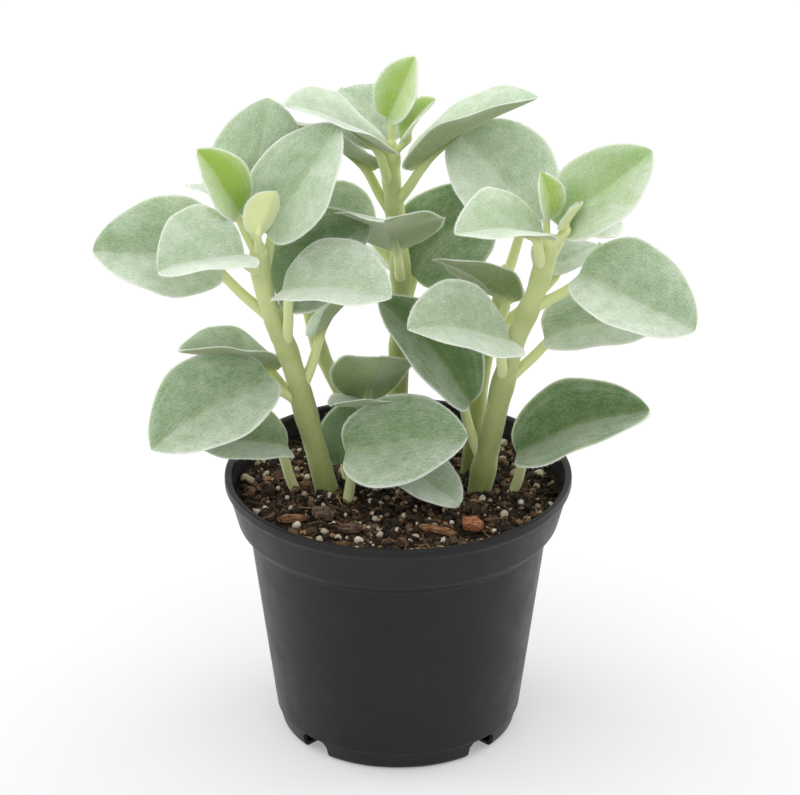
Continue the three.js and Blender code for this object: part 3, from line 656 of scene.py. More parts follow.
def leaf_shape(name, settings, seed):
    """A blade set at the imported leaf's tip, joined to a stalk that curves up to it from the stem.

    The stalk is a tube on a smooth line from the stem's centre line to three points under the blade. On
    the way it bows away from the side the blade faces. Its radius falls in straight steps, with a flare
    at the root that dies away exponentially. Its colour fades out where it becomes the blade's keel.
    """
    leaf = LEAVES[name]
    along = unit(leaf.midrib)
    length = np.linalg.norm(leaf.midrib)
    up = np.array(leaf.faces, float)
    up = unit(up - along * (up @ along))
    side = np.cross(up, along)
    corners = node_points(name)
    tip = corners[np.argmax(corners @ along)]
    base = tip - np.array(leaf.midrib) * MM
    (points, quads, triangles), flat = blade_shape(
        leaf, length, settings.thickness / MM, (side[2], up[2]), seed)
    blade = outward(base + points @ np.stack([along, side, up]) * MM, quads, triangles)

    if leaf.stem:
        stem = stem_line(leaf.stem, STEM_RINGS)
        root = point_at_height(stem, leaf.root * MM)
        if leaf.width > SMALL_LEAF:
            drop = np.clip(SHORT_STALK - np.linalg.norm(base - root), 0, LARGEST_DROP)
            root = point_at_height(stem, leaf.root * MM - drop)
    else:
        root = np.array([
            tip[0] + leaf.root[0] * MM, tip[1] + leaf.root[1] * MM, corners[:, 2].min()])
    reach = np.linalg.norm(base - root)
    middle = root + 0.55 * (base - root) - 0.1 * reach * up
    neck, joint, keel = (
        base + (share * length * along + (4 * ARCH * length * share * (1 - share) - depth) * up) * MM
        for share, depth in ((0.02, 2.3), (STALK_INSET, 1.45), (0.42, 0.6))
    )
    line = smooth_line([root, middle, neck, joint, keel], STALK_RINGS)
    share = np.linspace(0, 1, STALK_RINGS)
    radius = STALK_RADIUS if leaf.width > SMALL_LEAF else 0.7 * STALK_RADIUS
    taper = np.interp(share, (0, 0.55, 0.75, 1), (1, 0.86, 0.6, 0.22))
    radii = radius * (taper + STALK_FLARE * np.exp(-share / 0.1))
    rings = tube_rings(line, radii * MM, STALK_COLUMNS, side)
    stalk = outward(*closed_loft(rings, line[0], line[-1]))
    plain = np.zeros(len(line) * STALK_COLUMNS + 2)
    attributes = {key: np.append(value, plain) for key, value in flat.items()}
    fade = np.interp(share, (0, 0.5, 0.9), (1, 1, 0))
    attributes["stalk"][len(points):] = np.append(np.repeat(fade, STALK_COLUMNS), [1, 0])
    attributes["under"][len(points):] = 1
    attributes["age"] = np.full(len(points) + len(plain), leaf.age)
    return join_shapes([blade, stalk]), attributes


def leaf_shapes(settings):
    """Every leaf's shape and attributes by its name, each from a seed of its own."""
    return {name: leaf_shape(name, settings, LEAF_SEED + seed) for seed, name in enumerate(LEAVES)}


# ---------------------------------------------------------------- down

HAIR_RADIUS = 0.035 * MM
LEAF_HAIRS = 520
STEM_HAIRS = 1500
DOWN_SEED = 77


def hair_spikes(feet, directions, lengths):
    """Three-sided spikes: a small triangle round each foot, at right angles to its direction, and a point."""
    axes = np.where(np.abs(directions[:, 2:]) > 0.8, (1.0, 0.0, 0.0), (0.0, 0.0, 1.0))
    first = unit_rows(np.cross(directions, axes))
    second = np.cross(directions, first)
    turn = circle(3)
    ring = first[:, None] * np.cos(turn)[None, :, None] + second[:, None] * np.sin(turn)[None, :, None]
    corners = feet[:, None] + HAIR_RADIUS * ring
    tips = (feet + directions * lengths[:, None])[:, None]
    points = np.concatenate([corners, tips], axis=1).reshape(-1, 3)
    faces = np.array([(0, 1, 3), (1, 2, 3), (2, 0, 3), (2, 1, 0)])
    triangles = (np.arange(len(feet)) * 4)[:, None, None] + faces[None]
    return outward(points, np.empty((0, 4), int), triangles.reshape(-1, 3))


def leaning_hairs(rings, row, column, share, lean, lengths, random):
    """Hairs between two lengths in mm, set between one ring and the next by a share.

    Each points straight out from the middle of its ring, plus a random vector times the lean.
    """
    feet = rings[row, column] * (1 - share) + rings[row + 1, column] * share
    outwards = unit_rows(feet - rings[row].mean(axis=1))
    leaning = unit_rows(outwards + lean * random.normal(size=outwards.shape))
    return hair_spikes(feet, leaning, random.uniform(*lengths, len(feet)) * MM)


def margin_hairs(shape, random):
    """Hairs that stand out from a blade's two margins, at random places along them."""
    rings = shape[0][:BLADE_RINGS * BLADE_COLUMNS].reshape(BLADE_RINGS, BLADE_COLUMNS, 3)
    place = random.uniform(1, BLADE_RINGS - 1.001, LEAF_HAIRS)
    row = place.astype(int)
    share = (place - row)[:, None]
    column = np.where(random.uniform(size=LEAF_HAIRS) < 0.5, 0, BLADE_COLUMNS // 2)
    return leaning_hairs(rings, row, column, share, 0.45, (0.35, 0.95), random)


def stem_hairs(shape, random):
    """Short hairs at random places all over a stem."""
    rings = shape[0][:STEM_RINGS * STEM_COLUMNS].reshape(STEM_RINGS, STEM_COLUMNS, 3)
    row = random.integers(8, STEM_RINGS - 1, STEM_HAIRS)
    column = random.integers(0, STEM_COLUMNS, STEM_HAIRS)
    share = random.uniform(0, 1, STEM_HAIRS)[:, None]
    return leaning_hairs(rings, row, column, share, 0.4, (0.25, 0.6), random)


# ---------------------------------------------------------------- pot

# Angles round the pot, in degrees from the X axis; the front is at 270.
NOTCH_ANGLES = (45, 135, 225, 315)
NOTCH_WIDTH = 10.5 * MM
NOTCH_HEIGHT = 6 * MM
NOTCH_DEPTH = 6 * MM
FRONT_ANGLE = 270
FRONT_SLOT_WIDTH = 12 * MM
FRONT_SLOT_HEIGHT = 0.5 * MM
POT_COLUMNS = 240
# How far inside the rim's edge the foot, the top of the tapered wall and the collar's foot lie, and how
# far that top is below the collar.
FOOT_INSET = 17.4 * MM
SHOULDER_INSET = 7.6 * MM
COLLAR_INSET = 4 * MM
SHOULDER_DROP = 3.2 * MM
CORNER_RADIUS = 0.7 * MM


def rounded_profile(corners, radius, steps=5):
    """The line through the corners, each inner one rounded by a quadratic curve a radius either side."""
    corners = np.asarray(corners, float)
    before, corner, after = corners[:-2], corners[1:-1], corners[2:]
    to_before = before - corner
    to_after = after - corner
    near = np.linalg.norm(to_before, axis=1)
    far = np.linalg.norm(to_after, axis=1)
    cut = np.minimum(radius, 0.45 * np.minimum(near, far))
    start = corner + to_before / near[:, None] * cut[:, None]
    stop = corner + to_after / far[:, None] * cut[:, None]
    t = np.linspace(0, 1, steps)[None, :, None]
    arcs = (1 - t) ** 2 * start[:, None] + 2 * t * (1 - t) * corner[:, None] + t**2 * stop[:, None]
    return np.vstack([corners[:1], arcs.reshape(-1, 2), corners[-1:]])


def lathe(profile, columns):
    """The profile's distances from the axis turned round the Z axis, from pole to pole."""
    turn = circle(columns)
    r, z = profile[1:-1, 0][:, None], profile[1:-1, 1][:, None]
    rings = np.stack([r * np.cos(turn), r * np.sin(turn), z + 0 * turn], axis=-1)
    poles = [(0, 0, height) for height in (profile[0, 1], profile[-1, 1])]
    return closed_loft(rings, *poles)


def pot_profile(pot):
    """Foot, tapered wall, shoulder, collar and rolled rim, then back down a wall's width inside."""
    wall = pot.wall
    collar_foot = POT_HEIGHT - pot.collar
    shoulder = collar_foot - SHOULDER_DROP
    outer = [
        (0, 0.3 * MM), (RIM_RADIUS - 18.6 * MM, 0), (RIM_RADIUS - FOOT_INSET, 1.2 * MM),
        (RIM_RADIUS - 16.2 * MM, 6 * MM), (RIM_RADIUS - 15.7 * MM, 6.4 * MM),
        (RIM_RADIUS - SHOULDER_INSET, shoulder), (RIM_RADIUS - 4.6 * MM, collar_foot - 0.4 * MM),
        (RIM_RADIUS - COLLAR_INSET, collar_foot + 0.5 * MM), (RIM_RADIUS - 1.0 * MM, POT_HEIGHT - 3.4 * MM),
        (RIM_RADIUS, POT_HEIGHT - 2.6 * MM), (RIM_RADIUS, POT_HEIGHT),
        (RIM_RADIUS - 2.1 * MM, POT_HEIGHT),
    ]
    inner = [
        (RIM_RADIUS - 2.4 * MM, POT_HEIGHT - 2.4 * MM), (RIM_RADIUS - COLLAR_INSET - wall, collar_foot),
        (RIM_RADIUS - SHOULDER_INSET - wall, shoulder),
        (RIM_RADIUS - FOOT_INSET - wall, wall), (0, wall),
    ]
    return rounded_profile(outer + inner, CORNER_RADIUS)


def foot_cutter(angle, width, height, chamfer):
    """An upright box through the foot, turned to an angle, with its top corners cut off."""
    half = width / 2
    outline = np.array([
        (-half, -MM), (half, -MM), (half, height - 1.3 * chamfer), (half - chamfer, height),
        (chamfer - half, height), (-half, height - 1.3 * chamfer),
    ])
    foot_radius = RIM_RADIUS - FOOT_INSET
    depths = np.array([foot_radius - NOTCH_DEPTH, foot_radius + NOTCH_DEPTH])
    rings = np.stack([
        np.broadcast_to(depths[:, None], (2, len(outline))),
        np.broadcast_to(outline[:, 0], (2, len(outline))),
        np.broadcast_to(outline[:, 1], (2, len(outline))),
    ], axis=-1)
    turned = turn_about_z(rings, angle)
    return outward(*closed_loft(turned, turned[0].mean(axis=0), turned[1].mean(axis=0)))


def notch_cutters():
    """The four drain notches and the shallow slot at the front of the foot."""
    cutters = [
        foot_cutter(angle, NOTCH_WIDTH, NOTCH_HEIGHT, 1.5 * MM) for angle in np.radians(NOTCH_ANGLES)]
    cutters.append(foot_cutter(math.radians(FRONT_ANGLE), FRONT_SLOT_WIDTH, FRONT_SLOT_HEIGHT, 0.2 * MM))
    return join_shapes(cutters)


def apply_modifier(piece, modifier):
    """Makes one modifier's result the piece's own mesh."""
    with bpy.context.temp_override(object=piece, active_object=piece, selected_objects=[piece]):
        bpy.ops.object.modifier_apply(modifier=modifier.name)


# ---------------------------------------------------------------- potting mix

MIX_RINGS = 110
MIX_COLUMNS = 220
# The mix's side, in mm: how far inside the rim's edge it lies at each height, down the pot's inner taper.
MIX_SIDE = ((9.6, 66), (13, 40), (16.6, 12), (18.9, 6.5))
CROWN_HEIGHT = 1.0 * MM
LOOSE_SEED = 21
CRUMB_LIGHT = (0.33, 0.195, 0.105)
PERLITE_COLOURS = ((0.36, 0.27, 0.16), (0.84, 0.78, 0.64))
BARK_BIT_COLOURS = ((0.03, 0.014, 0.008), (0.62, 0.36, 0.19))
FIBRE_COLOURS = ((0.09, 0.05, 0.025), (0.34, 0.22, 0.12))


def mix_height(x, y, mix):
    """The surface of the mix: a low crown falling as the radius squared, plus ripples of three sizes.

    The ripples lose half their height towards the wall, by the fourth power of the radius.
    """
    radius = np.hypot(x, y)
    crown = CROWN_HEIGHT * (1 - np.clip(radius / MIX_RADIUS, 0, 1) ** 2)
    points = np.stack([x, y, 0 * x], axis=-1)
    lumps = (
        1.3 * ripple(points, 16 * MM, 3)
        + 1.1 * ripple(points, 5 * MM, 4)
        + 0.8 * ripple(points, 2.2 * MM, 5)
    )
    fade = 1 - 0.5 * np.clip(radius / MIX_RADIUS, 0, 1) ** 4
    return MIX_HIGH[2] - CROWN_HEIGHT + crown + mix.lumpiness * lumps * fade


def mix_shape(mix):
    """A disc of the mix's surface on rings of growing radius, closed below by the pot's inner taper."""
    turn = circle(MIX_COLUMNS)
    radius = np.linspace(0.004, 1, MIX_RINGS)[:, None] * (MIX_RADIUS + 0.9 * MM)
    x = radius * np.cos(turn)
    y = radius * np.sin(turn)
    top = np.stack([x, y, mix_height(x, y, mix)], axis=-1)
    inset = np.array(MIX_SIDE) * MM
    sides = np.stack([
        (RIM_RADIUS - inset[:, :1]) * np.cos(turn),
        (RIM_RADIUS - inset[:, :1]) * np.sin(turn),
        inset[:, 1:] + 0 * turn,
    ], axis=-1)
    rings = np.concatenate([top, sides])
    crown = (0, 0, float(mix_height(np.zeros(1), np.zeros(1), mix)[0]))
    return outward(*closed_loft(rings, crown, (0, 0, MIX_SIDE[-1][1] * MM)))


BARK_COLOURS = {
    "red bark": ((0.2, 0.065, 0.028), (0.55, 0.24, 0.12)),
    "dark bark": ((0.055, 0.033, 0.024), (0.22, 0.14, 0.10)),
    "brown bark": ((0.15, 0.065, 0.028), (0.46, 0.25, 0.13)),
}

# A chip: its bark, the corners of its outline, its width as a share of its length, and its turn in degrees.
Chip = namedtuple("Chip", "bark corners slimness turn")

CHIPS = {
    "bark_chip_dark": Chip("dark bark", 7, 0.9, 20),
    "bark_chip_red": Chip("red bark", 5, 0.95, 70),
    "bark_stick": Chip("brown bark", 6, 0.17, -28),
    "bark_chip_flat": Chip("dark bark", 6, 0.67, 10),
    "bark_chip_left": Chip("brown bark", 6, 0.35, 5),
}
CHIP_RINGS = 26
CHIP_COLUMNS = 72
CHIP_SEED = 40
CHIP_SEED_STEP = 5
# How far loose bits are sunk where a chip lies over them.
CHIP_BED = 2.2 * MM


def unit_grain(rings, columns):
    """A ball of a few faces: circles at even steps of latitude between two poles."""
    latitude = math.pi * (np.arange(rings) + 1) / (rings + 1)
    turn = circle(columns)
    grid = np.stack([
        np.sin(latitude)[:, None] * np.cos(turn),
        np.sin(latitude)[:, None] * np.sin(turn),
        np.cos(latitude)[:, None] + 0 * turn,
    ], axis=-1)
    return outward(*closed_loft(grid, (0, 0, 1), (0, 0, -1)))


def random_turns(random, count):
    """Rotation matrices from random unit quaternions."""
    w, x, y, z = random.normal(size=(4, count))
    size = np.sqrt(w * w + x * x + y * y + z * z)
    w, x, y, z = w / size, x / size, y / size, z / size
    rows = [
        [1 - 2 * (y * y + z * z), 2 * (x * y - z * w), 2 * (x * z + y * w)],
        [2 * (x * y + z * w), 1 - 2 * (x * x + z * z), 2 * (y * z - x * w)],
        [2 * (x * z - y * w), 2 * (y * z + x * w), 1 - 2 * (x * x + y * y)],
    ]
    return np.moveaxis(np.array(rows), -1, 0)


def flat_turns(random, count, tilt):
    """Rotation matrices that turn about Z and lean by a small random angle."""
    spin = random.uniform(0, 2 * math.pi, count)
    lean = random.normal(0, tilt, count)
    zero, one = np.zeros(count), np.ones(count)
    about_z = np.array([
        [np.cos(spin), -np.sin(spin), zero], [np.sin(spin), np.cos(spin), zero], [zero, zero, one]])
    about_x = np.array([
        [one, zero, zero], [zero, np.cos(lean), -np.sin(lean)], [zero, np.sin(lean), np.cos(lean)]])
    return np.moveaxis(about_z, -1, 0) @ np.moveaxis(about_x, -1, 0)


def scatter(shape, centres, sizes, turns, rough, random):
    """Copies of one small shape, each stretched, roughened point by point, turned and set at its centre."""
    points, quads, triangles = shape
    count = len(centres)
    bumps = 1 + rough * random.uniform(-1, 1, (count, len(points), 1))
    local = points[None] * sizes[:, None] * bumps
    placed = np.einsum("nij,npj->npi", turns, local) + centres[:, None]
    offset = (np.arange(count) * len(points))[:, None, None]
    all_quads = (quads[None] + offset).reshape(-1, 4)
    all_triangles = (triangles[None] + offset).reshape(-1, 3)
    return placed.reshape(-1, 3), all_quads, all_triangles


def spots_on_mix(random, count, reach, mix, lift):
    """Points spread evenly over the disc of mix, each lifted off it by a length, but sunk under chips."""
    radius = reach * np.sqrt(random.uniform(0, 1, count))
    angle = random.uniform(0, 2 * math.pi, count)
    x, y = radius * np.cos(angle), radius * np.sin(angle)
    covered = np.zeros(count, bool)
    for chip in CHIPS:
        low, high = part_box(chip)
        covered |= (x > low[0]) & (x < high[0]) & (y > low[1]) & (y < high[1])
    return np.stack([x, y, mix_height(x, y, mix) + lift - CHIP_BED * covered], axis=-1)


def chip_shape(node, chip, seed):
    """A broken plate in a packed chip's box.

    Its outline is straight between corners at uneven radii, its rings shrink towards both faces by a steep
    power, and slow waves roughen it; then it is slimmed, turned about Z and stretched to the box.
    """
    low, high = (np.array(corner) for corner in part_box(node))
    random = np.random.default_rng(seed)
    uneven = np.arange(chip.corners) + random.uniform(-0.25, 0.25, chip.corners)
    corner_turn = 2 * math.pi * uneven / chip.corners
    corner_radius = random.uniform(0.6, 1.0, chip.corners)
    turn = circle(CHIP_COLUMNS)
    corner_x = corner_radius * np.cos(corner_turn)
    corner_y = corner_radius * np.sin(corner_turn)
    x = np.interp(turn, corner_turn, corner_x, period=2 * math.pi)
    y = np.interp(turn, corner_turn, corner_y, period=2 * math.pi)
    level = np.linspace(-1, 1, CHIP_RINGS)[:, None]
    inset = (1 - np.abs(level) ** 6) ** 0.5 * 0.93 + 0.05
    grid = np.stack([x * inset, y * inset, level + 0.25 * y + 0 * x], axis=-1)
    grid = grid + 0.07 * np.stack([ripple(grid * (1, 1, 2), 0.45, seed + k) for k in range(3)], axis=-1)
    grid[..., 2] += 0.2 * ripple(grid, 0.7, seed + 3)
    grid = turn_about_z(grid * (1, chip.slimness, 1), math.radians(chip.turn))
    flat = grid.reshape(-1, 3)
    grid = (grid - flat.min(axis=0)) / (flat.max(axis=0) - flat.min(axis=0)) * (high - low) + low
    return outward(*closed_loft(grid, grid[0].mean(axis=0), grid[-1].mean(axis=0)))


# ---------------------------------------------------------------- settings


class PlantSettings(bpy.types.PropertyGroup):
    """Sizes and colours of the leaves and stems."""

    thickness: FloatProperty(
        name="Leaf thickness", description="Thickness of a blade at its midrib",
        default=1.2 * MM, min=0.4 * MM, max=3 * MM, subtype="DISTANCE", unit="LENGTH")
    down: FloatProperty(
        name="Down", description="How strongly the felt on leaves catches the light",
        default=0.6, min=0, max=1, subtype="FACTOR")
    leaf_roughness: FloatProperty(
        name="Leaf roughness", description="Roughness under the felt", default=0.75,
        min=0, max=1, subtype="FACTOR")
    leaf: FloatVectorProperty(
        name="Leaf", description="Grown leaf", default=(0.215, 0.365, 0.15),
        subtype="COLOR", min=0, max=1)
    leaf_old: FloatVectorProperty(
        name="Old leaf", description="Oldest leaves", default=(0.085, 0.165, 0.045),
        subtype="COLOR", min=0, max=1)
    leaf_young: FloatVectorProperty(
        name="Young leaf", description="Newest leaves", default=(0.35, 0.52, 0.065),
        subtype="COLOR", min=0, max=1)
    underside: FloatVectorProperty(
        name="Underside", description="Leaf underside", default=(0.16, 0.225, 0.04),
        subtype="COLOR", min=0, max=1)
    hair: FloatVectorProperty(
        name="Hair", description="Down on the leaves", default=(0.70, 0.76, 0.66),
        subtype="COLOR", min=0, max=1)
    # The colour of the painted highlight along each leaf's margin, also used for the paler patches of the
    # down.
    rim: FloatVectorProperty(
        name="Rim", description="Pale rim of a leaf", default=(0.84, 0.87, 0.78),
        subtype="COLOR", min=0, max=1)
    stem: FloatVectorProperty(
        name="Stem", description="Upper stem and stalks", default=(0.69, 0.75, 0.36),
        subtype="COLOR", min=0, max=1)
    stem_foot: FloatVectorProperty(
        name="Stem foot", description="Stem near the mix", default=(0.25, 0.305, 0.06),
        subtype="COLOR", min=0, max=1)


class PotSettings(bpy.types.PropertyGroup):
    """Sizes and finish of the pot."""

    wall: FloatProperty(
        name="Wall", description="Thickness of the moulded wall", default=1.2 * MM,
        subtype="DISTANCE", unit="LENGTH")
    collar: FloatProperty(
        name="Collar", description="Height of the collar below the rim", default=15 * MM,
        subtype="DISTANCE", unit="LENGTH")
    roughness: FloatProperty(
        name="Roughness", description="Roughness of the plastic", default=0.42,
        min=0, max=1, subtype="FACTOR")
    plastic: FloatVectorProperty(
        name="Plastic", description="Colour of the pot", default=(0.008, 0.008, 0.0088),
        subtype="COLOR", min=0, max=1)


class MixSettings(bpy.types.PropertyGroup):
    """The potting mix and what lies on it."""

    lumpiness: FloatProperty(
        name="Lumpiness", description="Height of the surface's lumps", default=1.0 * MM,
        subtype="DISTANCE", unit="LENGTH")
    crumbs: IntProperty(name="Crumbs", description="Peat crumbs", default=5200, min=0)
    perlite: IntProperty(name="Perlite", description="Perlite grains", default=420, min=0)
    bark_bits: IntProperty(name="Bark bits", description="Small pieces of bark", default=620, min=0)
    fibres: IntProperty(name="Fibres", description="Loose fibres", default=150, min=0)
    peat: FloatVectorProperty(
        name="Peat", description="Darkest part of the mix", default=(0.010, 0.007, 0.005), subtype="COLOR")
    fibre: FloatVectorProperty(
        name="Fibre", description="Brown fibres", default=(0.075, 0.042, 0.022), subtype="COLOR")
    bark: FloatVectorProperty(
        name="Bark", description="Bark and wood bits", default=(0.20, 0.105, 0.055), subtype="COLOR")


class SceneSettings(bpy.types.PropertyGroup):
    """The view and the light."""

    distance: FloatProperty(
        name="Camera distance", description="From the middle of the plant", default=1.5,
        subtype="DISTANCE", unit="LENGTH")
    elevation: FloatProperty(
        name="Camera elevation", description="Angle above the table", default=math.radians(25.5),
        subtype="ANGLE", unit="ROTATION")
    lens: FloatProperty(name="Lens", description="Focal length in mm", default=218.7)
    room_light: FloatProperty(
        name="Room light", description="Strength of the white surroundings", default=0.84)
    side_light: FloatProperty(
        name="Side light", description="Power of the light at each side", default=4.2, unit="POWER")
    floor_glow: FloatProperty(
        name="Floor glow", description="Light lent to the floor's shadows", default=0.29)
    key_light: FloatProperty(name="Key light", description="Strength of the light above", default=1.0)
    key_size: FloatProperty(
        name="Key size", description="How wide the light above looks", default=math.radians(75),
        subtype="ANGLE", unit="ROTATION")


# ---------------------------------------------------------------- operators


FLOOR_REACH = 6.0
FLOOR_CLOUD = 0.3
FLOOR_COLOURS = ((0.545, 0.545, 0.545), (0.555, 0.555, 0.555))
# A side light has a number: its sign is its side, and its size scales both its power and its distance.
KEY_FROM = (-0.22, -0.25, 1)
SIDE_LIGHTS = (("left", -1), ("right", 0.8))
SIDE_LIGHT_SIZE = 0.7
SIDE_DISTANCE = 0.9
SIDE_BACK = 0.35
SIDE_HEIGHT = 0.4
SIDE_TILT = 0.25
CAMERA_TARGET = (0.00055, 0, 0.1112)
SENSOR_WIDTH = 36


class PEPEROMIA_OT_stage(bpy.types.Operator):
    """Lay the pale floor, set soft lights and aim the camera"""

    bl_idname = "peperomia.stage"
    bl_label = "Stage"

    def execute(self, context):
        view = context.scene.peperomia_view
        self.lay_floor(view)
        self.set_lights(context, view)
        self.aim_camera(context, view)
        return {"FINISHED"}

    def lay_floor(self, view):
        """A wide pale square that lends a little light to its own shadows."""
        paint = Paint(
            "pale floor", 0.9, Specular_IOR_Level=0.1,
            Emission_Color=(1, 1, 1, 1), Emission_Strength=view.floor_glow)
        floor_mesh = bpy.data.meshes.new("floor")
        corners = [(-FLOOR_REACH, -FLOOR_REACH, 0), (FLOOR_REACH, -FLOOR_REACH, 0),
                   (FLOOR_REACH, FLOOR_REACH, 0), (-FLOOR_REACH, FLOOR_REACH, 0)]
        floor_mesh.from_pydata(corners, [], [(0, 1, 2, 3)])
        floor_mesh.materials.append(paint.colour(paint.mix(paint.noise(FLOOR_CLOUD), *FLOOR_COLOURS)))
        floor = add_object("floor", floor_mesh)

    def set_lights(self, context, view):
        """White surroundings, a wide soft light above, and a square one behind each side."""
        world = bpy.data.worlds.new("white surroundings")
        world.use_nodes = True
        background = world.node_tree.nodes["Background"]
        background.inputs["Color"].default_value = (1, 1, 1, 1)
        background.inputs["Strength"].default_value = view.room_light
        context.scene.world = world

        key_data = bpy.data.lights.new("key", "SUN")
        key_data.angle = view.key_size
        key_data.energy = view.key_light
        key = add_object("key", key_data)
        key.rotation_euler = Vector(KEY_FROM).to_track_quat("Z", "Y").to_euler()
        for name, side in SIDE_LIGHTS:
            data = bpy.data.lights.new(name, "AREA")
            data.size = SIDE_LIGHT_SIZE
            data.energy = view.side_light * abs(side)
            light = add_object(name, data)
            light.location = (SIDE_DISTANCE * side, SIDE_BACK, SIDE_HEIGHT)
            direction = Vector((side, SIDE_BACK, SIDE_TILT))
            light.rotation_euler = direction.to_track_quat("Z", "Y").to_euler()

    def aim_camera(self, context, view):
        """The camera stands back from its target by the distance, at the elevation, and looks at it."""
        target = Vector(CAMERA_TARGET)
        back = Vector((0, -math.cos(view.elevation), math.sin(view.elevation)))
        camera_data = bpy.data.cameras.new("camera")
        camera_data.lens = view.lens
        camera_data.sensor_width = SENSOR_WIDTH
        camera = add_object("camera", camera_data)
        camera.location = target + view.distance * back
        camera.rotation_euler = (-back).to_track_quat("-Z", "Y").to_euler()
        context.scene.camera = camera
        context.scene.view_settings.view_transform = "Standard"


class PEPEROMIA_OT_pot(bpy.types.Operator):
    """Turn the pot's profile and cut its drain notches"""

    bl_idname = "peperomia.pot"
    bl_label = "Pot"

    def execute(self, context):
        pot = context.scene.peperomia_pot
        material = pot_material(pot)
        shell = outward(*lathe(pot_profile(pot), POT_COLUMNS))
        piece = mesh_piece("pot_shell", shell, material)
        cutter = mesh_piece("notch_cutters", notch_cutters(), material)
        cut = piece.modifiers.new("notches", "BOOLEAN")
        cut.object = cutter
        cut.solver = "EXACT"
        apply_modifier(piece, cut)
        bpy.data.objects.remove(cutter)
        piece.data.set_sharp_from_angle(angle=math.radians(35))
        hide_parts("nursery_pot")
        return {"FINISHED"}


class PEPEROMIA_OT_mix(bpy.types.Operator):
    """Fill the pot with lumpy potting mix"""

    bl_idname = "peperomia.mix"
    bl_label = "Potting mix"

    def execute(self, context):
        mix = context.scene.peperomia_mix
        piece = mesh_piece("peat", mix_shape(mix), mix_material(mix))
        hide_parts("potting_mix")
        return {"FINISHED"}


class PEPEROMIA_OT_loose_bits(bpy.types.Operator):
    """Scatter crumbs, perlite, bark bits and fibres over the mix"""

    bl_idname = "peperomia.loose_bits"
    bl_label = "Loose bits"

    def execute(self, context):
        mix = context.scene.peperomia_mix
        random = np.random.default_rng(LOOSE_SEED)
        reach = MIX_RADIUS - 1.5 * MM
        self.crumbs(mix, random, reach)
        self.perlite(mix, random, reach)
        self.bark_bits(mix, random, reach)
        self.fibres(mix, random, reach)
        return {"FINISHED"}

    def lay(self, name, shape, shades, per_copy, material, smooth):
        """Makes one piece of all the copies, each with its own shade."""
        piece = mesh_piece(name, shape, material, {"shade": np.repeat(shades, per_copy)}, smooth)

    def crumbs(self, mix, random, reach):
        """Many small broken balls of peat, most of them dark."""
        grain = unit_grain(2, 5)
        radius = random.gamma(2.2, 0.27, mix.crumbs).clip(0.2, 2.0) * MM
        centres = spots_on_mix(random, mix.crumbs, reach, mix, 0.3 * radius)
        sizes = radius[:, None] * random.uniform(0.5, 1.4, (mix.crumbs, 3))
        shape = scatter(grain, centres, sizes, random_turns(random, mix.crumbs), 0.25, random)
        material = grain_material("peat crumbs", mix.peat, CRUMB_LIGHT)
        shades = random.beta(0.5, 2.3, mix.crumbs)
        self.lay("peat_crumbs", shape, shades, len(grain[0]), material, False)

    def perlite(self, mix, random, reach):
        """Rounded pale grains."""
        grain = unit_grain(4, 7)
        radius = random.gamma(3.5, 0.21, mix.perlite).clip(0.28, 1.5) * MM
        centres = spots_on_mix(random, mix.perlite, reach, mix, 0.35 * radius)
        sizes = radius[:, None] * random.uniform(0.75, 1.2, (mix.perlite, 3))
        shape = scatter(grain, centres, sizes, random_turns(random, mix.perlite), 0.13, random)
        material = grain_material("perlite", *PERLITE_COLOURS, 0.85)
        shades = random.beta(1.7, 1.2, mix.perlite)
        self.lay("perlite", shape, shades, len(grain[0]), material, True)

    def bark_bits(self, mix, random, reach):
        """Flat slivers that lie roughly level."""
        grain = unit_grain(3, 6)
        length = random.gamma(3.2, 0.42, mix.bark_bits).clip(0.5, 3.4) * MM
        centres = spots_on_mix(random, mix.bark_bits, reach, mix, 0.12 * length)
        sizes = length[:, None] * np.stack([
            np.ones(mix.bark_bits),
            random.uniform(0.3, 0.7, mix.bark_bits),
            random.uniform(0.15, 0.3, mix.bark_bits),
        ], axis=-1)
        shape = scatter(grain, centres, sizes, flat_turns(random, mix.bark_bits, 0.45), 0.2, random)
        material = grain_material("bark bits", *BARK_BIT_COLOURS, 0.7, 0.9)
        shades = random.beta(0.9, 1.5, mix.bark_bits)
        self.lay("bark_bits", shape, shades, len(grain[0]), material, False)

    def fibres(self, mix, random, reach):
        """Thin strands, bowed as a parabola with a slight sine wave up and down."""
        bow = np.linspace(-1, 1, 7)
        line = np.stack([bow, 0.25 * (1 - bow**2), 0.1 * np.sin(2.2 * bow)], axis=-1)
        strand = outward(*closed_loft(tube_rings(line, 0.06, 4, (0, 0, 1)), line[0], line[-1]))
        length = random.uniform(1.5, 5.0, mix.fibres) * MM
        centres = spots_on_mix(random, mix.fibres, reach - 3 * MM, mix, 0.5 * MM)
        sizes = np.repeat(length[:, None], 3, axis=1)
        shape = scatter(strand, centres, sizes, flat_turns(random, mix.fibres, 0.2), 0.03, random)
        material = grain_material("fibres", *FIBRE_COLOURS, 0.9)
        shades = random.uniform(0, 1, mix.fibres)
        self.lay("fibres", shape, shades, len(strand[0]), material, True)


class PEPEROMIA_OT_bark_chips(bpy.types.Operator):
    """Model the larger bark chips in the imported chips' places"""

    bl_idname = "peperomia.bark_chips"
    bl_label = "Bark chips"

    def execute(self, context):
        barks = {name: bark_material(name, *colours) for name, colours in BARK_COLOURS.items()}
        for seed, (node, chip) in enumerate(CHIPS.items()):
            shape = chip_shape(node, chip, CHIP_SEED + CHIP_SEED_STEP * seed)
            piece = mesh_piece("rough_" + node, shape, barks[chip.bark])
            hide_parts(node)
        return {"FINISHED"}


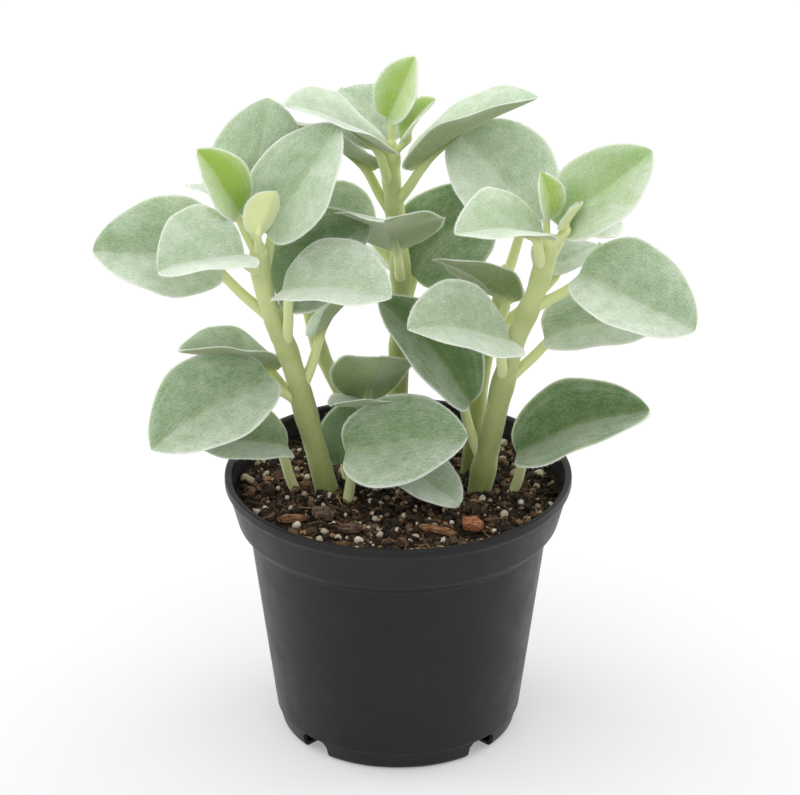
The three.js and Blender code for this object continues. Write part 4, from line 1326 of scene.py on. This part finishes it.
class PEPEROMIA_OT_stems(bpy.types.Operator):
    """Grow the fleshy stems with a swelling at each stalk"""

    bl_idname = "peperomia.stems"
    bl_label = "Stems"

    def execute(self, context):
        material = stem_material(context.scene.peperomia_plant)
        for name in STEMS:
            shape, attributes = stem_shape(name)
            piece = mesh_piece("fleshy_" + name, shape, material, attributes)
            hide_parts(name)
        return {"FINISHED"}


class PEPEROMIA_OT_leaves(bpy.types.Operator):
    """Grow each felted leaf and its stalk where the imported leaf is"""

    bl_idname = "peperomia.leaves"
    bl_label = "Leaves"

    def execute(self, context):
        settings = context.scene.peperomia_plant
        material = leaf_material(settings)
        for name, (shape, attributes) in leaf_shapes(settings).items():
            piece = mesh_piece("felted_" + name, shape, material, attributes)
            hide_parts(name)
        return {"FINISHED"}


class PEPEROMIA_OT_down(bpy.types.Operator):
    """Set short pale hairs along the margins of the leaves and all over the stems"""

    bl_idname = "peperomia.down"
    bl_label = "Down"

    def execute(self, context):
        settings = context.scene.peperomia_plant
        material = down_material(settings)
        random = np.random.default_rng(DOWN_SEED)
        on_leaves = [margin_hairs(shape, random) for shape, _ in leaf_shapes(settings).values()]
        on_stems = [stem_hairs(stem_shape(name)[0], random) for name in STEMS]
        for name, hairs, slot in (("leaf_down", on_leaves, "leaf"), ("stem_down", on_stems, "stem")):
            mesh_piece(name, join_shapes(hairs), material)
        return {"FINISHED"}


OPERATORS = (
    PEPEROMIA_OT_stage,
    PEPEROMIA_OT_pot,
    PEPEROMIA_OT_mix,
    PEPEROMIA_OT_loose_bits,
    PEPEROMIA_OT_bark_chips,
    PEPEROMIA_OT_stems,
    PEPEROMIA_OT_leaves,
    PEPEROMIA_OT_down,
)


class PEPEROMIA_PT_panel(bpy.types.Panel):
    """Lists the operators in the sidebar"""

    bl_idname = "PEPEROMIA_PT_panel"
    bl_label = "Potted peperomia"
    bl_space_type = "VIEW_3D"
    bl_region_type = "UI"
    bl_category = "Peperomia"

    def draw(self, context):
        for operator in OPERATORS:
            self.layout.operator(operator.bl_idname)


SETTINGS = {
    "peperomia_plant": PlantSettings,
    "peperomia_pot": PotSettings,
    "peperomia_mix": MixSettings,
    "peperomia_view": SceneSettings,
}
CLASSES = (*SETTINGS.values(), *OPERATORS, PEPEROMIA_PT_panel)


def register():
    """Registers the classes and hangs each group of settings on the scene."""
    for cls in CLASSES:
        bpy.utils.register_class(cls)
    for key, group in SETTINGS.items():
        setattr(bpy.types.Scene, key, PointerProperty(type=group))


def unregister():
    """Takes the settings off the scene and the classes back out."""
    for key in SETTINGS:
        delattr(bpy.types.Scene, key)
    for cls in reversed(CLASSES):
        bpy.utils.unregister_class(cls)


def main():
    """Builds the whole object, one operator after another."""
    register()
    bpy.ops.peperomia.stage()
    bpy.ops.peperomia.pot()
    bpy.ops.peperomia.mix()
    bpy.ops.peperomia.loose_bits()
    bpy.ops.peperomia.bark_chips()
    bpy.ops.peperomia.stems()
    bpy.ops.peperomia.leaves()
    bpy.ops.peperomia.down()


if __name__ == "__main__":
    main()
